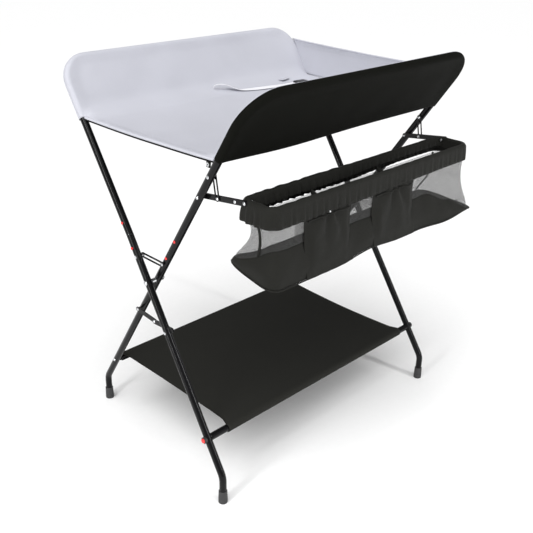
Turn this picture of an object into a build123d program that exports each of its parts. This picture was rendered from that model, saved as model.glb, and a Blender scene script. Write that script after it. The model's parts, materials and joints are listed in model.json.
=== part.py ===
from build123d import *
import os
from math import cos, radians, sin

# Folding baby changing table: two crossed U-shaped tube frames hinged at the middle, a fabric
# sling top between their upper rails, a fabric shelf between two low cross tubes, slotted links
# and folding braces beside the crossing, and a fabric basket on swinging arms at the front.
# Millimetres. +X runs along the table, -Y is the front with the basket, +Z is up. The origin is
# on the floor, below the middle of the whole table.

os.makedirs("parts", exist_ok=True)

# ---- driving dimensions ----------------------------------------------------------------------
PIVOT_Y = 45.6             # the frames cross behind the middle, because the basket juts forward
PIVOT_Z = 498.0            # height of the crossing
LEG_LEAN = 33.6            # lean of each frame from the vertical, degrees
TUBE_R = 9.0               # outside radius of every frame tube
TUBE_WALL = 1.2

OUTER_TOP_X = 395.0        # half-width of the outer frame above its leg joints
OUTER_FOOT_X = 407.0       # and at its feet, which splay out
INNER_TOP_X = 383.0        # half-width of the inner frame at its top rail
INNER_FOOT_X = 356.0       # and at its feet
OUTER_RAIL_R = 583.0       # top rail to crossing, measured along the leg
INNER_RAIL_R = 612.0
OUTER_CORNER_R = 66.0      # bend of the rail corners
INNER_CORNER_R = 84.0
FOOT_BEND_Z = 75.0         # below this the legs turn upright
FOOT_BEND_R = 45.0
FOOT_TUBE_END_Z = 5.0      # the tube ends this far up inside its rubber cap
JOINT_R = 124.0            # upper rail tube meets lower leg, along the leg from the crossing
SNAP_PITCH = 33.0          # snap buttons stand this far either side of the joint
SHELF_R = 406.0            # shelf tubes below the crossing, along the leg
LINK_R = 68.0              # slotted link pivots above the crossing
BRACE_R = 130.0            # brace pivots below the crossing
RIVET_R = 2.5
BOLT_R = 3.0               # pivot bolt at the crossing
RUN = 0.06                 # radial running clearance of pins in their holes
GAP = 0.4                  # clear space between neighbouring moving or soft pieces
THROUGH = 24.0             # drilling depth that passes through a whole tube
SNAP_R = 3.5               # snap buttons in the leg joints
SNAP_HOLE_R = 3.7
SNAP_DRILL = 6.0           # drilling depth that passes through one wall

BED_TOP_Z = 862.0          # changing surface
BED_THICK = 8.0
WING_FOOT_R = 436.0        # where each wing cover starts, along the leg
WING_THICK = 5.0
LIP_TOP_Z = 957.0          # raised end panel at the far end

ARM_ROOT_R = 318.0         # basket arm pivot on the inner leg
ARM_RISE = 8.0             # arms rise this much towards the front, degrees
STAY_ROOT_R = 68.0         # stay pivot above the arm pivot, along the leg
STAY_PIN_R = 47.0          # stay pin along the arm
ARM_RIVET_R = 100.0        # rivet of the hoop's bracket along the arm
ARM_LENGTH = 129.0
ARM_THICK = 6.0
STAY_THICK = 2.0
HOOP_R = 4.0
HOOP_HALF_X = 355.0
HOOP_HALF_Y = 43.0
HOOP_CORNER = 20.0
BAND_TALL = 48.0
BASKET_WALL = 2.4
BASKET_LEDGE_Z = 628.0     # walls meet the bottom here
BASKET_FLOOR_Z = 604.0

LEAN_Y = sin(radians(LEG_LEAN))
LEAN_Z = cos(radians(LEG_LEAN))
FOOT_BEND_LEG_R = (PIVOT_Z - FOOT_BEND_Z) / LEAN_Z
SIDES = (("left", -1), ("right", 1))


# ---- places on the frames --------------------------------------------------------------------
def outer_x(r):
    """Half-width of the outer frame at r along its leg."""
    if r >= JOINT_R:
        return OUTER_TOP_X
    splay = (JOINT_R - r) / (JOINT_R + FOOT_BEND_LEG_R)
    return OUTER_TOP_X + splay * (OUTER_FOOT_X - OUTER_TOP_X)


def inner_x(r):
    """Half-width of the inner frame at r along its leg."""
    height = (r + FOOT_BEND_LEG_R) / (INNER_RAIL_R + FOOT_BEND_LEG_R)
    return INNER_FOOT_X + height * (INNER_TOP_X - INNER_FOOT_X)


def on_leg(lean, r, x):
    """Point at r along a leg: lean is +1 on the outer frame and -1 on the inner one."""
    return Vector(x, PIVOT_Y + lean * r * LEAN_Y, PIVOT_Z + r * LEAN_Z)


def leg_plane(lean, x=0.0):
    """Plane of a frame, its X along the table and its Y up the leg."""
    return Plane(origin=on_leg(lean, 0, x), x_dir=(1, 0, 0), z_dir=(0, -LEAN_Z, lean * LEAN_Y))


ARM_ROOT = on_leg(-1, ARM_ROOT_R, 0)
STAY_ROOT = on_leg(-1, ARM_ROOT_R + STAY_ROOT_R, 0)
ARM_OUT = Vector(0, -cos(radians(ARM_RISE)), sin(radians(ARM_RISE)))
STAY_PIN = ARM_ROOT + ARM_OUT * STAY_PIN_R
ARM_RIVET = ARM_ROOT + ARM_OUT * ARM_RIVET_R
ARM_TIP = ARM_ROOT + ARM_OUT * ARM_LENGTH
HOOP_Z = ARM_TIP.Z
HOOP_REAR_Y = ARM_TIP.Y + 15.0
HOOP_Y = HOOP_REAR_Y - HOOP_HALF_Y


def save(builder, name):
    builder.part.label = name
    export_step(builder.part, f"parts/{name}.step")


def dome_r(head_r, head_h):
    """Radius of the sphere that a domed head of this radius and height is cut from."""
    return (head_r ** 2 + head_h ** 2) / (2 * head_h)


def cross_drill(points, radius, depth):
    """Drill along X, centred on each point."""
    with Locations(*[Location(point, (0, 90, 0)) for point in points]):
        Cylinder(radius, depth, mode=Mode.SUBTRACT)


# ---- frame tubes -----------------------------------------------------------------------------
def tube_along(points, bends):
    """A hollow tube along straight runs joined by bends."""
    with BuildPart() as tube:
        with BuildLine():
            FilletPolyline(*points, radius=bends)
        with BuildSketch(Plane(origin=points[0], z_dir=points[1] - points[0])):
            Circle(TUBE_R)
            Circle(TUBE_R - TUBE_WALL, mode=Mode.SUBTRACT)
        sweep()
    return tube.part


def upper_frame(name, lean, top_x, joint_x, rail_r, corner_r, drilled):
    """U-shaped upper tube: two leg stubs and the top rail that carries a wing of the sling."""
    corners = [
        on_leg(lean, JOINT_R + GAP / 2, -joint_x),
        on_leg(lean, rail_r, -top_x),
        on_leg(lean, rail_r, top_x),
        on_leg(lean, JOINT_R + GAP / 2, joint_x),
    ]
    tube = tube_along(corners, corner_r)
    snap_r = JOINT_R + SNAP_PITCH
    snap_x = outer_x(snap_r) if lean > 0 else inner_x(snap_r)
    with BuildPart() as frame:
        add(tube)
        cross_drill([on_leg(lean, snap_r, side * (snap_x + TUBE_R)) for _, side in SIDES],
                    SNAP_HOLE_R, SNAP_DRILL)
        for r, x in drilled:
            cross_drill([on_leg(lean, r, side * x) for _, side in SIDES], RIVET_R + RUN, THROUGH)
    save(frame, name)


def lower_leg(name, lean, side, half_width, foot_x, drilled):
    """Lower leg from the leg joint through the crossing to the upright foot."""
    foot = on_leg(lean, -FOOT_BEND_LEG_R, side * foot_x)
    points = [
        on_leg(lean, JOINT_R - GAP / 2, side * half_width(JOINT_R)),
        foot,
        Vector(foot.X, foot.Y, FOOT_TUBE_END_Z),
    ]
    tube = tube_along(points, FOOT_BEND_R)
    snap_r = JOINT_R - SNAP_PITCH
    with BuildPart() as leg:
        add(tube)
        cross_drill([on_leg(lean, 0, side * half_width(0))], BOLT_R + RUN, THROUGH)
        cross_drill([on_leg(lean, snap_r, side * (half_width(snap_r) + TUBE_R))], SNAP_HOLE_R, SNAP_DRILL)
        for r in drilled:
            cross_drill([on_leg(lean, r, side * half_width(r))], RIVET_R + RUN, THROUGH)
    save(leg, name)


upper_frame("outer_rail_frame", 1, OUTER_TOP_X, OUTER_TOP_X, OUTER_RAIL_R, OUTER_CORNER_R, [])
upper_frame("inner_rail_frame", -1, INNER_TOP_X, inner_x(JOINT_R), INNER_RAIL_R, INNER_CORNER_R,
            [(ARM_ROOT_R, inner_x(ARM_ROOT_R)),
             (ARM_ROOT_R + STAY_ROOT_R, inner_x(ARM_ROOT_R + STAY_ROOT_R))])
for side_name, side in SIDES:
    lower_leg(f"outer_leg_{side_name}", 1, side, outer_x, OUTER_FOOT_X,
              [LINK_R, -BRACE_R, -SHELF_R])
    lower_leg(f"inner_leg_{side_name}", -1, side, inner_x, INNER_FOOT_X,
              [LINK_R, -BRACE_R, -SHELF_R])


# ---- leg joints: inner sleeve, leaf springs and snap buttons ---------------------------------
SLEEVE_R = TUBE_R - TUBE_WALL - 0.55
SLEEVE_WALL = 1.1
SLEEVE_HALF = 42.0
SNAP_FLANGE_R = 4.2
SNAP_DOME = 1.3
SNAP_PROUD = 2.6           # button stands this far out of the tube
LEAF_DEPTH = 4.6           # leaf spring sits this far in from the sleeve's bore


def joint_sleeves(name, lean, half_width):
    """Short inner tubes that join each upper frame to its two lower legs."""
    with BuildPart() as sleeves:
        for _, side in SIDES:
            low = on_leg(lean, JOINT_R - SLEEVE_HALF, side * half_width(JOINT_R - SLEEVE_HALF))
            high = on_leg(lean, JOINT_R + SLEEVE_HALF, side * half_width(JOINT_R + SLEEVE_HALF))
            with BuildSketch(Plane(origin=low, z_dir=high - low)):
                Circle(SLEEVE_R)
                Circle(SLEEVE_R - SLEEVE_WALL, mode=Mode.SUBTRACT)
            extrude(amount=(high - low).length)
            for r in (JOINT_R - SNAP_PITCH, JOINT_R + SNAP_PITCH):
                wall = on_leg(lean, r, side * (half_width(r) + SLEEVE_R))
                cross_drill([wall], SNAP_HOLE_R, SNAP_DRILL)
    save(sleeves, name)


def leaf_springs(name, lean, half_width):
    """One steel leaf inside each sleeve, pressed against the far side of the bore."""
    bore = SLEEVE_R - SLEEVE_WALL
    with BuildPart() as leaves:
        for _, side in SIDES:
            x = side * (half_width(JOINT_R) - bore + LEAF_DEPTH)
            with BuildSketch(Plane(origin=on_leg(lean, JOINT_R, x), x_dir=(0, lean * LEAN_Y, LEAN_Z),
                                   z_dir=(1, 0, 0))):
                SlotOverall(2 * SNAP_PITCH + 10, 7)
            extrude(amount=0.25, both=True)
    save(leaves, name)


def snap_button(name, lean, r, side, half_width):
    """Domed button on a flange: it pops through the sleeve and the tube."""
    top = half_width(r) + TUBE_R + SNAP_PROUD
    flange = half_width(r) + 4.1
    with BuildPart() as button:
        with BuildSketch(Plane(origin=on_leg(lean, r, 0), x_dir=(side, 0, 0), z_dir=(0, 1, 0))):
            with BuildLine():
                Polyline((flange - 0.8, 0), (flange - 0.8, SNAP_FLANGE_R), (flange, SNAP_FLANGE_R),
                         (flange, SNAP_R), (top - SNAP_DOME, SNAP_R))
                bulge = dome_r(SNAP_R, SNAP_DOME)
                RadiusArc((top - SNAP_DOME, SNAP_R), (top, 0), bulge)
                Line((top, 0), (flange - 0.8, 0))
            make_face()
        revolve(axis=Axis(on_leg(lean, r, 0), (1, 0, 0)))
    save(button, name)


for frame_name, lean, half_width in (("outer", 1, outer_x), ("inner", -1, inner_x)):
    joint_sleeves(f"{frame_name}_joint_sleeves", lean, half_width)
    leaf_springs(f"{frame_name}_leaf_springs", lean, half_width)
    for side_name, side in SIDES:
        for level, r in (("lower", JOINT_R - SNAP_PITCH), ("upper", JOINT_R + SNAP_PITCH)):
            snap_button(f"{frame_name}_snap_{side_name}_{level}", lean, r, side, half_width)


# ---- feet ------------------------------------------------------------------------------------
CAP_R = 11.6
CAP_TALL = 36.0


def foot_caps(name, lean, foot_x):
    """Rubber cap pushed over each leg end, with a rib above its tread."""
    centre = on_leg(lean, -FOOT_BEND_LEG_R, 0)
    with BuildPart() as caps:
        with BuildSketch(Plane.XZ.offset(-centre.Y)):
            with BuildLine():
                Polyline((0, 0), (CAP_R - 1, 0), (CAP_R, 1), (CAP_R, 9), (CAP_R - 0.8, 10),
                         (CAP_R - 0.8, 11), (CAP_R, 12), (CAP_R - 0.9, CAP_TALL - 1),
                         (CAP_R - 1.6, CAP_TALL), (TUBE_R + 0.1, CAP_TALL),
                         (TUBE_R + 0.1, FOOT_TUBE_END_Z), (0, FOOT_TUBE_END_Z), close=True)
            make_face()
        revolve(axis=Axis((0, centre.Y, 0), (0, 0, 1)))
    cap = caps.part
    with BuildPart() as pair:
        for _, side in SIDES:
            add(cap.moved(Location((side * foot_x, 0, 0))))
    save(pair, name)


foot_caps("outer_foot_caps", 1, OUTER_FOOT_X)
foot_caps("inner_foot_caps", -1, INNER_FOOT_X)


# ---- fasteners -------------------------------------------------------------------------------
def rivet(low_x, high_x, radius=RIVET_R, head_r=4.2, head_h=2.0):
    """Rivet along X whose two domed heads start at low_x and high_x."""
    with BuildPart() as one:
        with BuildSketch(Plane.XY):
            with BuildLine():
                Polyline((low_x - head_h, 0), (high_x + head_h, 0))
                RadiusArc((high_x + head_h, 0), (high_x, head_r), -dome_r(head_r, head_h))
                Polyline((high_x, head_r), (high_x, radius), (low_x, radius), (low_x, head_r))
                RadiusArc((low_x, head_r), (low_x - head_h, 0), -dome_r(head_r, head_h))
            make_face()
        revolve(axis=Axis.X)
    return one.part


def mirrored_pair(name, shapes):
    """Shapes made for the right end, kept there and mirrored to the left end, as one node."""
    with BuildPart() as pair:
        for shape in shapes:
            add(shape)
            add(mirror(shape, about=Plane.YZ, mode=Mode.PRIVATE))
    save(pair, name)


def placed(shape, point):
    return shape.moved(Location((0, point.Y, point.Z)))


def bush(low_x, high_x, centre, radius=4.4, bore=RIVET_R):
    """Spacer ring along X."""
    with BuildPart() as ring:
        with BuildSketch(Plane.YZ.offset(low_x)):
            Circle(radius)
            Circle(bore + RUN, mode=Mode.SUBTRACT)
        extrude(amount=high_x - low_x)
    return placed(ring.part, centre)


CROSS_OUT_X = outer_x(0) + TUBE_R
CROSS_IN_X = inner_x(0) - TUBE_R
FACE = 0.15                # heads and washers stand this clear of the faces they bear on

pivot = on_leg(1, 0, 0)
with BuildPart() as bolt:
    with BuildSketch(Plane.XY):
        with BuildLine():
            bolt_head_x = CROSS_OUT_X + FACE
            Polyline((CROSS_IN_X - 9, 0), (bolt_head_x + 3.2, 0))
            RadiusArc((bolt_head_x + 3.2, 0), (bolt_head_x, 6.4), -dome_r(6.4, 3.2))
            Polyline((bolt_head_x, 6.4), (bolt_head_x, BOLT_R), (CROSS_IN_X - 9, BOLT_R),
                     (CROSS_IN_X - 9, 0))
        make_face()
    revolve(axis=Axis.X)
mirrored_pair("pivot_bolts", [placed(bolt.part, pivot)])

mirrored_pair("pivot_spacers", [
    bush(inner_x(0) + TUBE_R + FACE, outer_x(0) - TUBE_R - FACE, pivot, 6.2, BOLT_R)])

with BuildPart() as nut:
    with BuildSketch(Plane.YZ.offset(CROSS_IN_X - FACE)):
        RegularPolygon(5.8, 6)
        Circle(BOLT_R + RUN, mode=Mode.SUBTRACT)
    extrude(amount=-5)
    with BuildSketch(Plane.YZ.offset(CROSS_IN_X - FACE - 5)):
        Circle(4.6)
        Circle(BOLT_R + RUN, mode=Mode.SUBTRACT)
    extrude(amount=-1.6)
mirrored_pair("pivot_nuts", [placed(nut.part, pivot)])


# ---- slotted links above the crossing --------------------------------------------------------
PLATE = 2.0
LINK_X = inner_x(LINK_R) + TUBE_R + 2.4        # inboard face of the link plate
LINK_REACH = 2 * LINK_R * LEAN_Y               # pivot to stud with the table open
SLOT_HALF = RIVET_R + 0.5

link_pivot = on_leg(-1, LINK_R, 0)
link_stud = on_leg(1, LINK_R, 0)
with BuildPart() as link:
    with BuildSketch(Plane.YZ.offset(LINK_X)):
        with Locations((link_pivot.Y + LINK_REACH / 2, link_pivot.Z)):
            SlotCenterToCenter(LINK_REACH, 14)
        with Locations((link_pivot.Y + 7.5 + (LINK_REACH - 7.5) / 2, link_pivot.Z)):
            SlotCenterToCenter(LINK_REACH - 7.5, 2 * SLOT_HALF, mode=Mode.SUBTRACT)
        with Locations((link_pivot.Y, link_pivot.Z)):
            Circle(RIVET_R + RUN, mode=Mode.SUBTRACT)
    extrude(amount=PLATE)
mirrored_pair("slotted_links", [link.part])

# ---- folding braces below the crossing -------------------------------------------------------
BRACE_SAG = 5.0            # the middle rivet rests this far below the line of the pivots
BRACE_WIDE = 13.0
FRONT_BAR_X = outer_x(-BRACE_R) - TUBE_R - 6.6
REAR_BAR_X = FRONT_BAR_X - PLATE - GAP

brace_front = on_leg(1, -BRACE_R, 0)
brace_rear = on_leg(-1, -BRACE_R, 0)
brace_mid = Vector(0, PIVOT_Y, brace_front.Z - BRACE_SAG)


def brace_bar(x, root):
    """Flat bar from a leg rivet to the middle rivet."""
    run = brace_mid - root
    turn = Vector(0, 1, 0).get_signed_angle(run, Vector(1, 0, 0))
    with BuildPart() as bar:
        with BuildSketch(Plane.YZ.offset(x)):
            with Locations(Location(((root.Y + brace_mid.Y) / 2, (root.Z + brace_mid.Z) / 2, 0),
                                    (0, 0, turn))):
                SlotCenterToCenter(run.length, BRACE_WIDE)
            with Locations((root.Y, root.Z), (brace_mid.Y, brace_mid.Z)):
                Circle(RIVET_R + RUN, mode=Mode.SUBTRACT)
        extrude(amount=PLATE)
    return bar.part


mirrored_pair("brace_front_bars", [brace_bar(FRONT_BAR_X, brace_front)])
mirrored_pair("brace_rear_bars", [brace_bar(REAR_BAR_X, brace_rear)])


def stub_rivet(face_x, end_x, radius=RIVET_R, head_r=4.2, head_h=1.4):
    """Rivet with one head at face_x, its shank ending flush at end_x."""
    out = head_h if face_x > end_x else -head_h
    with BuildPart() as one:
        with BuildSketch(Plane.XY):
            Polygon((face_x, 0), (face_x, head_r), (face_x + out, head_r * 0.62), (face_x + out, 0),
                    align=None)
            Polygon((end_x, 0), (end_x, radius), (face_x, radius), (face_x, 0), align=None)
        revolve(axis=Axis.X)
    return one.part


mirrored_pair("brace_front_rivets", [
    placed(stub_rivet(FRONT_BAR_X + PLATE + FACE, FRONT_BAR_X + 0.1), brace_mid)])
mirrored_pair("brace_rear_rivets", [
    placed(stub_rivet(REAR_BAR_X - FACE, REAR_BAR_X + PLATE - 0.1), brace_mid)])

# Pins through the outer legs: link stud, brace pivot with its shoulder, shelf tube screw.
outer_link_out = outer_x(LINK_R) + TUBE_R + FACE
outer_brace_out = outer_x(-BRACE_R) + TUBE_R + FACE

outer_pins = [
    placed(rivet(LINK_X - GAP, outer_link_out, head_h=0.9), link_stud),
    placed(rivet(FRONT_BAR_X - FACE, outer_brace_out, head_h=1.2), brace_front)]
mirrored_pair("outer_frame_bushes", [
    bush(FRONT_BAR_X + PLATE + FACE, outer_x(-BRACE_R) - TUBE_R - FACE, brace_front)])

# Pins through the inner legs: link pivot, brace pivot, basket arm and stay pivots.
STAY_X = inner_x(ARM_ROOT_R + STAY_ROOT_R) - TUBE_R - GAP - STAY_THICK
ARM_X = STAY_X - GAP - ARM_THICK
inner_pins = [
    placed(rivet(inner_x(LINK_R) - TUBE_R - FACE, LINK_X + PLATE + FACE, head_h=1.2), link_pivot),
    placed(rivet(inner_x(-BRACE_R) - TUBE_R - FACE, REAR_BAR_X + PLATE + FACE, head_h=1.2), brace_rear),
    placed(rivet(ARM_X - FACE, inner_x(ARM_ROOT_R) + TUBE_R + FACE), ARM_ROOT),
    placed(rivet(STAY_X - FACE, inner_x(ARM_ROOT_R + STAY_ROOT_R) + TUBE_R + FACE, head_h=1.2), STAY_ROOT)]
mirrored_pair("inner_frame_bushes", [
    bush(inner_x(LINK_R) + TUBE_R + FACE, LINK_X - FACE, link_pivot),
    bush(inner_x(-BRACE_R) + TUBE_R + FACE, REAR_BAR_X - FACE, brace_rear),
    bush(ARM_X + ARM_THICK + FACE, inner_x(ARM_ROOT_R) - TUBE_R - FACE, ARM_ROOT)])

# ---- shelf -----------------------------------------------------------------------------------
SHELF_NEAR_X = -336.0
SHELF_FAR_X = 347.0
SHELF_HOLLOW = 8.0         # how far the end edges curve in
SCREW_HEAD_H = 1.8


def shelf_tube(name, lean, inside_x):
    """Cross tube between the legs of one frame."""
    with BuildPart() as tube:
        with BuildSketch(Plane.YZ.offset(-inside_x)):
            with Locations((on_leg(lean, -SHELF_R, 0).Y, on_leg(lean, -SHELF_R, 0).Z)):
                Circle(TUBE_R)
                Circle(TUBE_R - TUBE_WALL, mode=Mode.SUBTRACT)
        extrude(amount=2 * inside_x)
    save(tube, name)


def shelf_plugs(name, lean, inside_x):
    """Threaded plug in each end of a shelf tube."""
    centre = on_leg(lean, -SHELF_R, 0)
    with BuildPart() as plug:
        with BuildSketch(Plane.YZ.offset(inside_x - 20)):
            Circle(TUBE_R - TUBE_WALL - 0.1)
            Circle(RIVET_R + RUN, mode=Mode.SUBTRACT)
        extrude(amount=19.5)
    mirrored_pair(name, [placed(plug.part, centre)])


SHELF_FRONT_X = outer_x(-SHELF_R) - TUBE_R - 0.5
SHELF_REAR_X = inner_x(-SHELF_R) - TUBE_R - 0.5
shelf_front = on_leg(1, -SHELF_R, 0)
shelf_rear = on_leg(-1, -SHELF_R, 0)
shelf_tube("shelf_tube_front", 1, SHELF_FRONT_X)
shelf_tube("shelf_tube_rear", -1, SHELF_REAR_X)
shelf_plugs("shelf_plugs_front", 1, SHELF_FRONT_X)
shelf_plugs("shelf_plugs_rear", -1, SHELF_REAR_X)


def shelf_screw(inside_x, outside_x):
    """Screw through a leg into the plug of the shelf tube."""
    return stub_rivet(outside_x, inside_x - 16, head_r=4.6, head_h=SCREW_HEAD_H)


mirrored_pair("outer_frame_fasteners", outer_pins + [
    placed(shelf_screw(SHELF_FRONT_X, outer_x(-SHELF_R) + TUBE_R + FACE), shelf_front)])
mirrored_pair("inner_frame_fasteners", inner_pins + [
    placed(shelf_screw(SHELF_REAR_X, inner_x(-SHELF_R) + TUBE_R + FACE), shelf_rear)])

# Round push-button in a black collar over each front shelf joint.
COLLAR_R = 8.4
COLLAR_TALL = 7.0
KEY_R = 5.9
KEY_PROUD = 2.6
KEY_TRAVEL = 2.0
collar_x = outer_x(-SHELF_R) + TUBE_R - 1.5
leg_x = outer_x(-SHELF_R)
with BuildPart() as collar:
    with BuildSketch(Plane.YZ.offset(collar_x)):
        with Locations((shelf_front.Y, shelf_front.Z)):
            Circle(COLLAR_R)
    extrude(amount=COLLAR_TALL)
    fillet(collar.faces().sort_by(Axis.X)[-1].edges(), 1.2)
    with BuildSketch(Plane.YZ.offset(collar_x)):
        with Locations((shelf_front.Y, shelf_front.Z)):
            Circle(KEY_R + 0.3)
    extrude(amount=COLLAR_TALL, mode=Mode.SUBTRACT)
    with BuildSketch(Plane(origin=on_leg(1, -SHELF_R - 30, leg_x), z_dir=(0, LEAN_Y, LEAN_Z))):
        Circle(TUBE_R + 0.5)
    extrude(amount=60, mode=Mode.SUBTRACT)
mirrored_pair("shelf_button_collars", [collar.part])

with BuildPart() as shelf_key:
    key_low_x = outer_x(-SHELF_R) + TUBE_R + FACE + SCREW_HEAD_H + KEY_TRAVEL + 0.6
    with BuildSketch(Plane.YZ.offset(key_low_x)):
        with Locations((shelf_front.Y, shelf_front.Z)):
            Circle(KEY_R)
    extrude(amount=collar_x + COLLAR_TALL + KEY_PROUD - key_low_x)
    fillet(shelf_key.faces().sort_by(Axis.X)[-1].edges(), 1.4)
for side_name, side in SIDES:
    with BuildPart() as side_key:
        add(shelf_key.part if side > 0 else mirror(shelf_key.part, about=Plane.YZ, mode=Mode.PRIVATE))
    save(side_key, f"shelf_button_{side_name}")

# The shelf cloth wraps both tubes and is joined in one closed sheet with hollowed ends.
with BuildPart() as shelf_cloth:
    cloth_z = shelf_front.Z + TUBE_R + GAP
    inset = TUBE_R + 1.0
    with BuildSketch(Plane.XY.offset(cloth_z)):
        with BuildLine():
            near = shelf_front.Y - inset
            far = shelf_rear.Y + inset
            Line((SHELF_NEAR_X, near), (SHELF_FAR_X, near))
            ThreePointArc((SHELF_FAR_X, near), (SHELF_FAR_X - SHELF_HOLLOW, PIVOT_Y), (SHELF_FAR_X, far))
            Line((SHELF_FAR_X, far), (SHELF_NEAR_X, far))
            ThreePointArc((SHELF_NEAR_X, far), (SHELF_NEAR_X + SHELF_HOLLOW, PIVOT_Y), (SHELF_NEAR_X, near))
        make_face()
    extrude(amount=2.0)
save(shelf_cloth, "shelf_cloth")


# ---- fabric sling ----------------------------------------------------------------------------
def wing_cover(name, lean, half_width, rail_r, corner_r):
    """Cloth panel stretched inside an upper rail, from the fold line to the top rail."""
    inset = TUBE_R + GAP
    top = rail_r - inset
    low_x = half_width(WING_FOOT_R) - inset - 0.3
    top_x = half_width(rail_r) - inset
    with BuildPart() as wing:
        with BuildSketch(leg_plane(lean)) as outline:
            Polygon((-low_x, WING_FOOT_R), (low_x, WING_FOOT_R), (top_x, top), (-top_x, top), align=None)
            fillet(outline.vertices().group_by(Axis.Y)[-1], corner_r - inset)
        extrude(amount=WING_THICK / 2, both=True)
    save(wing, name)


wing_cover("outer_wing_cover", 1, outer_x, OUTER_RAIL_R, OUTER_CORNER_R)
wing_cover("inner_wing_cover", -1, inner_x, INNER_RAIL_R, INNER_CORNER_R)

BED_HALF_Y = (BED_TOP_Z - PIVOT_Z) * LEAN_Y / LEAN_Z - 17.0
BED_HALF_X = 384.0
with BuildPart() as bed:
    with BuildSketch(Plane.XY.offset(BED_TOP_Z - BED_THICK)):
        with Locations((0, PIVOT_Y)):
            RectangleRounded(2 * BED_HALF_X, 2 * BED_HALF_Y, 6)
    extrude(amount=BED_THICK)
    fillet(bed.faces().sort_by(Axis.Z)[-1].edges(), 2.5)
save(bed, "bed_cloth")

# Raised panel across the far end, joined to both wings.
LIP_X = 371.0
LIP_THICK = 2.5
lip_low_y = (BED_TOP_Z - PIVOT_Z) * LEAN_Y / LEAN_Z - 14.5
lip_high_y = (LIP_TOP_Z - PIVOT_Z) * LEAN_Y / LEAN_Z - 14.5
with BuildPart() as lip:
    with BuildSketch(Plane.YZ.offset(LIP_X)):
        with Locations((PIVOT_Y, 0)):
            Polygon((-lip_low_y, BED_TOP_Z + GAP), (lip_low_y, BED_TOP_Z + GAP),
                    (lip_high_y, LIP_TOP_Z), (-lip_high_y, LIP_TOP_Z), align=None)
    extrude(amount=LIP_THICK)
save(lip, "end_panel")

# Safety belt in two webbing halves that lie on the bed, with a side-release buckle.
BELT_WIDE = 25.0
BELT_THICK = 1.6
BELT_X = 60.0
belt_z = BED_TOP_Z + GAP
seam_y = BED_HALF_Y - 8.0


def belt_half(name, seam, tip):
    """Webbing from its seam to its buckle half."""
    run = Vector(tip[0] - seam[0], tip[1] - seam[1])
    with BuildPart() as belt:
        with BuildSketch(Plane(origin=(seam[0], seam[1], belt_z), x_dir=run)):
            Rectangle(run.length, BELT_WIDE, align=(Align.MIN, Align.CENTER))
        extrude(amount=BELT_THICK)
    save(belt, name)


rear_seam = (BELT_X, PIVOT_Y + seam_y)
rear_tip = (255.0, PIVOT_Y + 176.0)
front_seam = (BELT_X, PIVOT_Y - seam_y)
front_tip = (205.0, PIVOT_Y - 150.0)
belt_half("belt_rear", rear_seam, rear_tip)
belt_half("belt_front", front_seam, front_tip)


def buckle_plane(seam, tip):
    run = Vector(tip[0] - seam[0], tip[1] - seam[1])
    return Plane(origin=(tip[0], tip[1], belt_z), x_dir=run, z_dir=(0, 0, 1))


with BuildPart() as buckle_socket:
    with BuildSketch(buckle_plane(rear_seam, rear_tip)):
        with Locations((GAP + 18, 0)):
            RectangleRounded(36, 33, 5)
    extrude(amount=9)
    fillet(buckle_socket.faces().sort_by(Axis.Z)[-1].edges(), 1.5)
    with BuildSketch(buckle_plane(rear_seam, rear_tip).offset(2.2)):
        with Locations((GAP + 26, 0)):
            Rectangle(24, 24)
    extrude(amount=5.0, mode=Mode.SUBTRACT)
save(buckle_socket, "buckle_socket")

with BuildPart() as buckle_tongue:
    with BuildSketch(buckle_plane(front_seam, front_tip)):
        with Locations((GAP + 8, 0)):
            RectangleRounded(16, 33, 3)
        with Locations((GAP + 24, 0)):
            Rectangle(20, 6)
        with Locations((GAP + 23, 10), (GAP + 23, -10)):
            SlotOverall(22, 4)
    extrude(amount=3.6)
save(buckle_tongue, "buckle_tongue")

# Black tab with a press stud under the near front corner of the bed.
TAB_X = -375.0
tab_y = PIVOT_Y - BED_HALF_Y + 22.0
with BuildPart() as tab:
    with BuildSketch(Plane.YZ.offset(TAB_X)):
        with Locations((tab_y, BED_TOP_Z - BED_THICK - GAP - 9)):
            RectangleRounded(14, 18, 3)
    extrude(amount=1.6)
save(tab, "corner_tab")
with BuildPart() as stud:
    with BuildSketch(Plane.YZ.offset(TAB_X - FACE)):
        with Locations((tab_y, BED_TOP_Z - BED_THICK - GAP - 11)):
            Circle(4.6)
            Circle(1.6, mode=Mode.SUBTRACT)
    extrude(amount=-1.8)
save(stud, "press_stud")


# ---- basket arms and stays -------------------------------------------------------------------
PIN_R = 2.3
STAY_PLAY = 1.2            # the stay's slot is this much wider than its pin on each side
with BuildPart() as arm:
    turn = 180 - ARM_RISE
    middle = ARM_ROOT + ARM_OUT * (ARM_LENGTH / 2)
    with BuildSketch(Plane.YZ.offset(ARM_X)):
        with Locations(Location((middle.Y, middle.Z, 0), (0, 0, turn))):
            SlotCenterToCenter(ARM_LENGTH, 12)
        with Locations((ARM_ROOT.Y, ARM_ROOT.Z)):
            Circle(RIVET_R + RUN, mode=Mode.SUBTRACT)
        with Locations(*[(pin.Y, pin.Z) for pin in (STAY_PIN, ARM_RIVET, ARM_TIP)]):
            Circle(PIN_R + RUN, mode=Mode.SUBTRACT)
    extrude(amount=ARM_THICK)
mirrored_pair("basket_arms", [arm.part])

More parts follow.
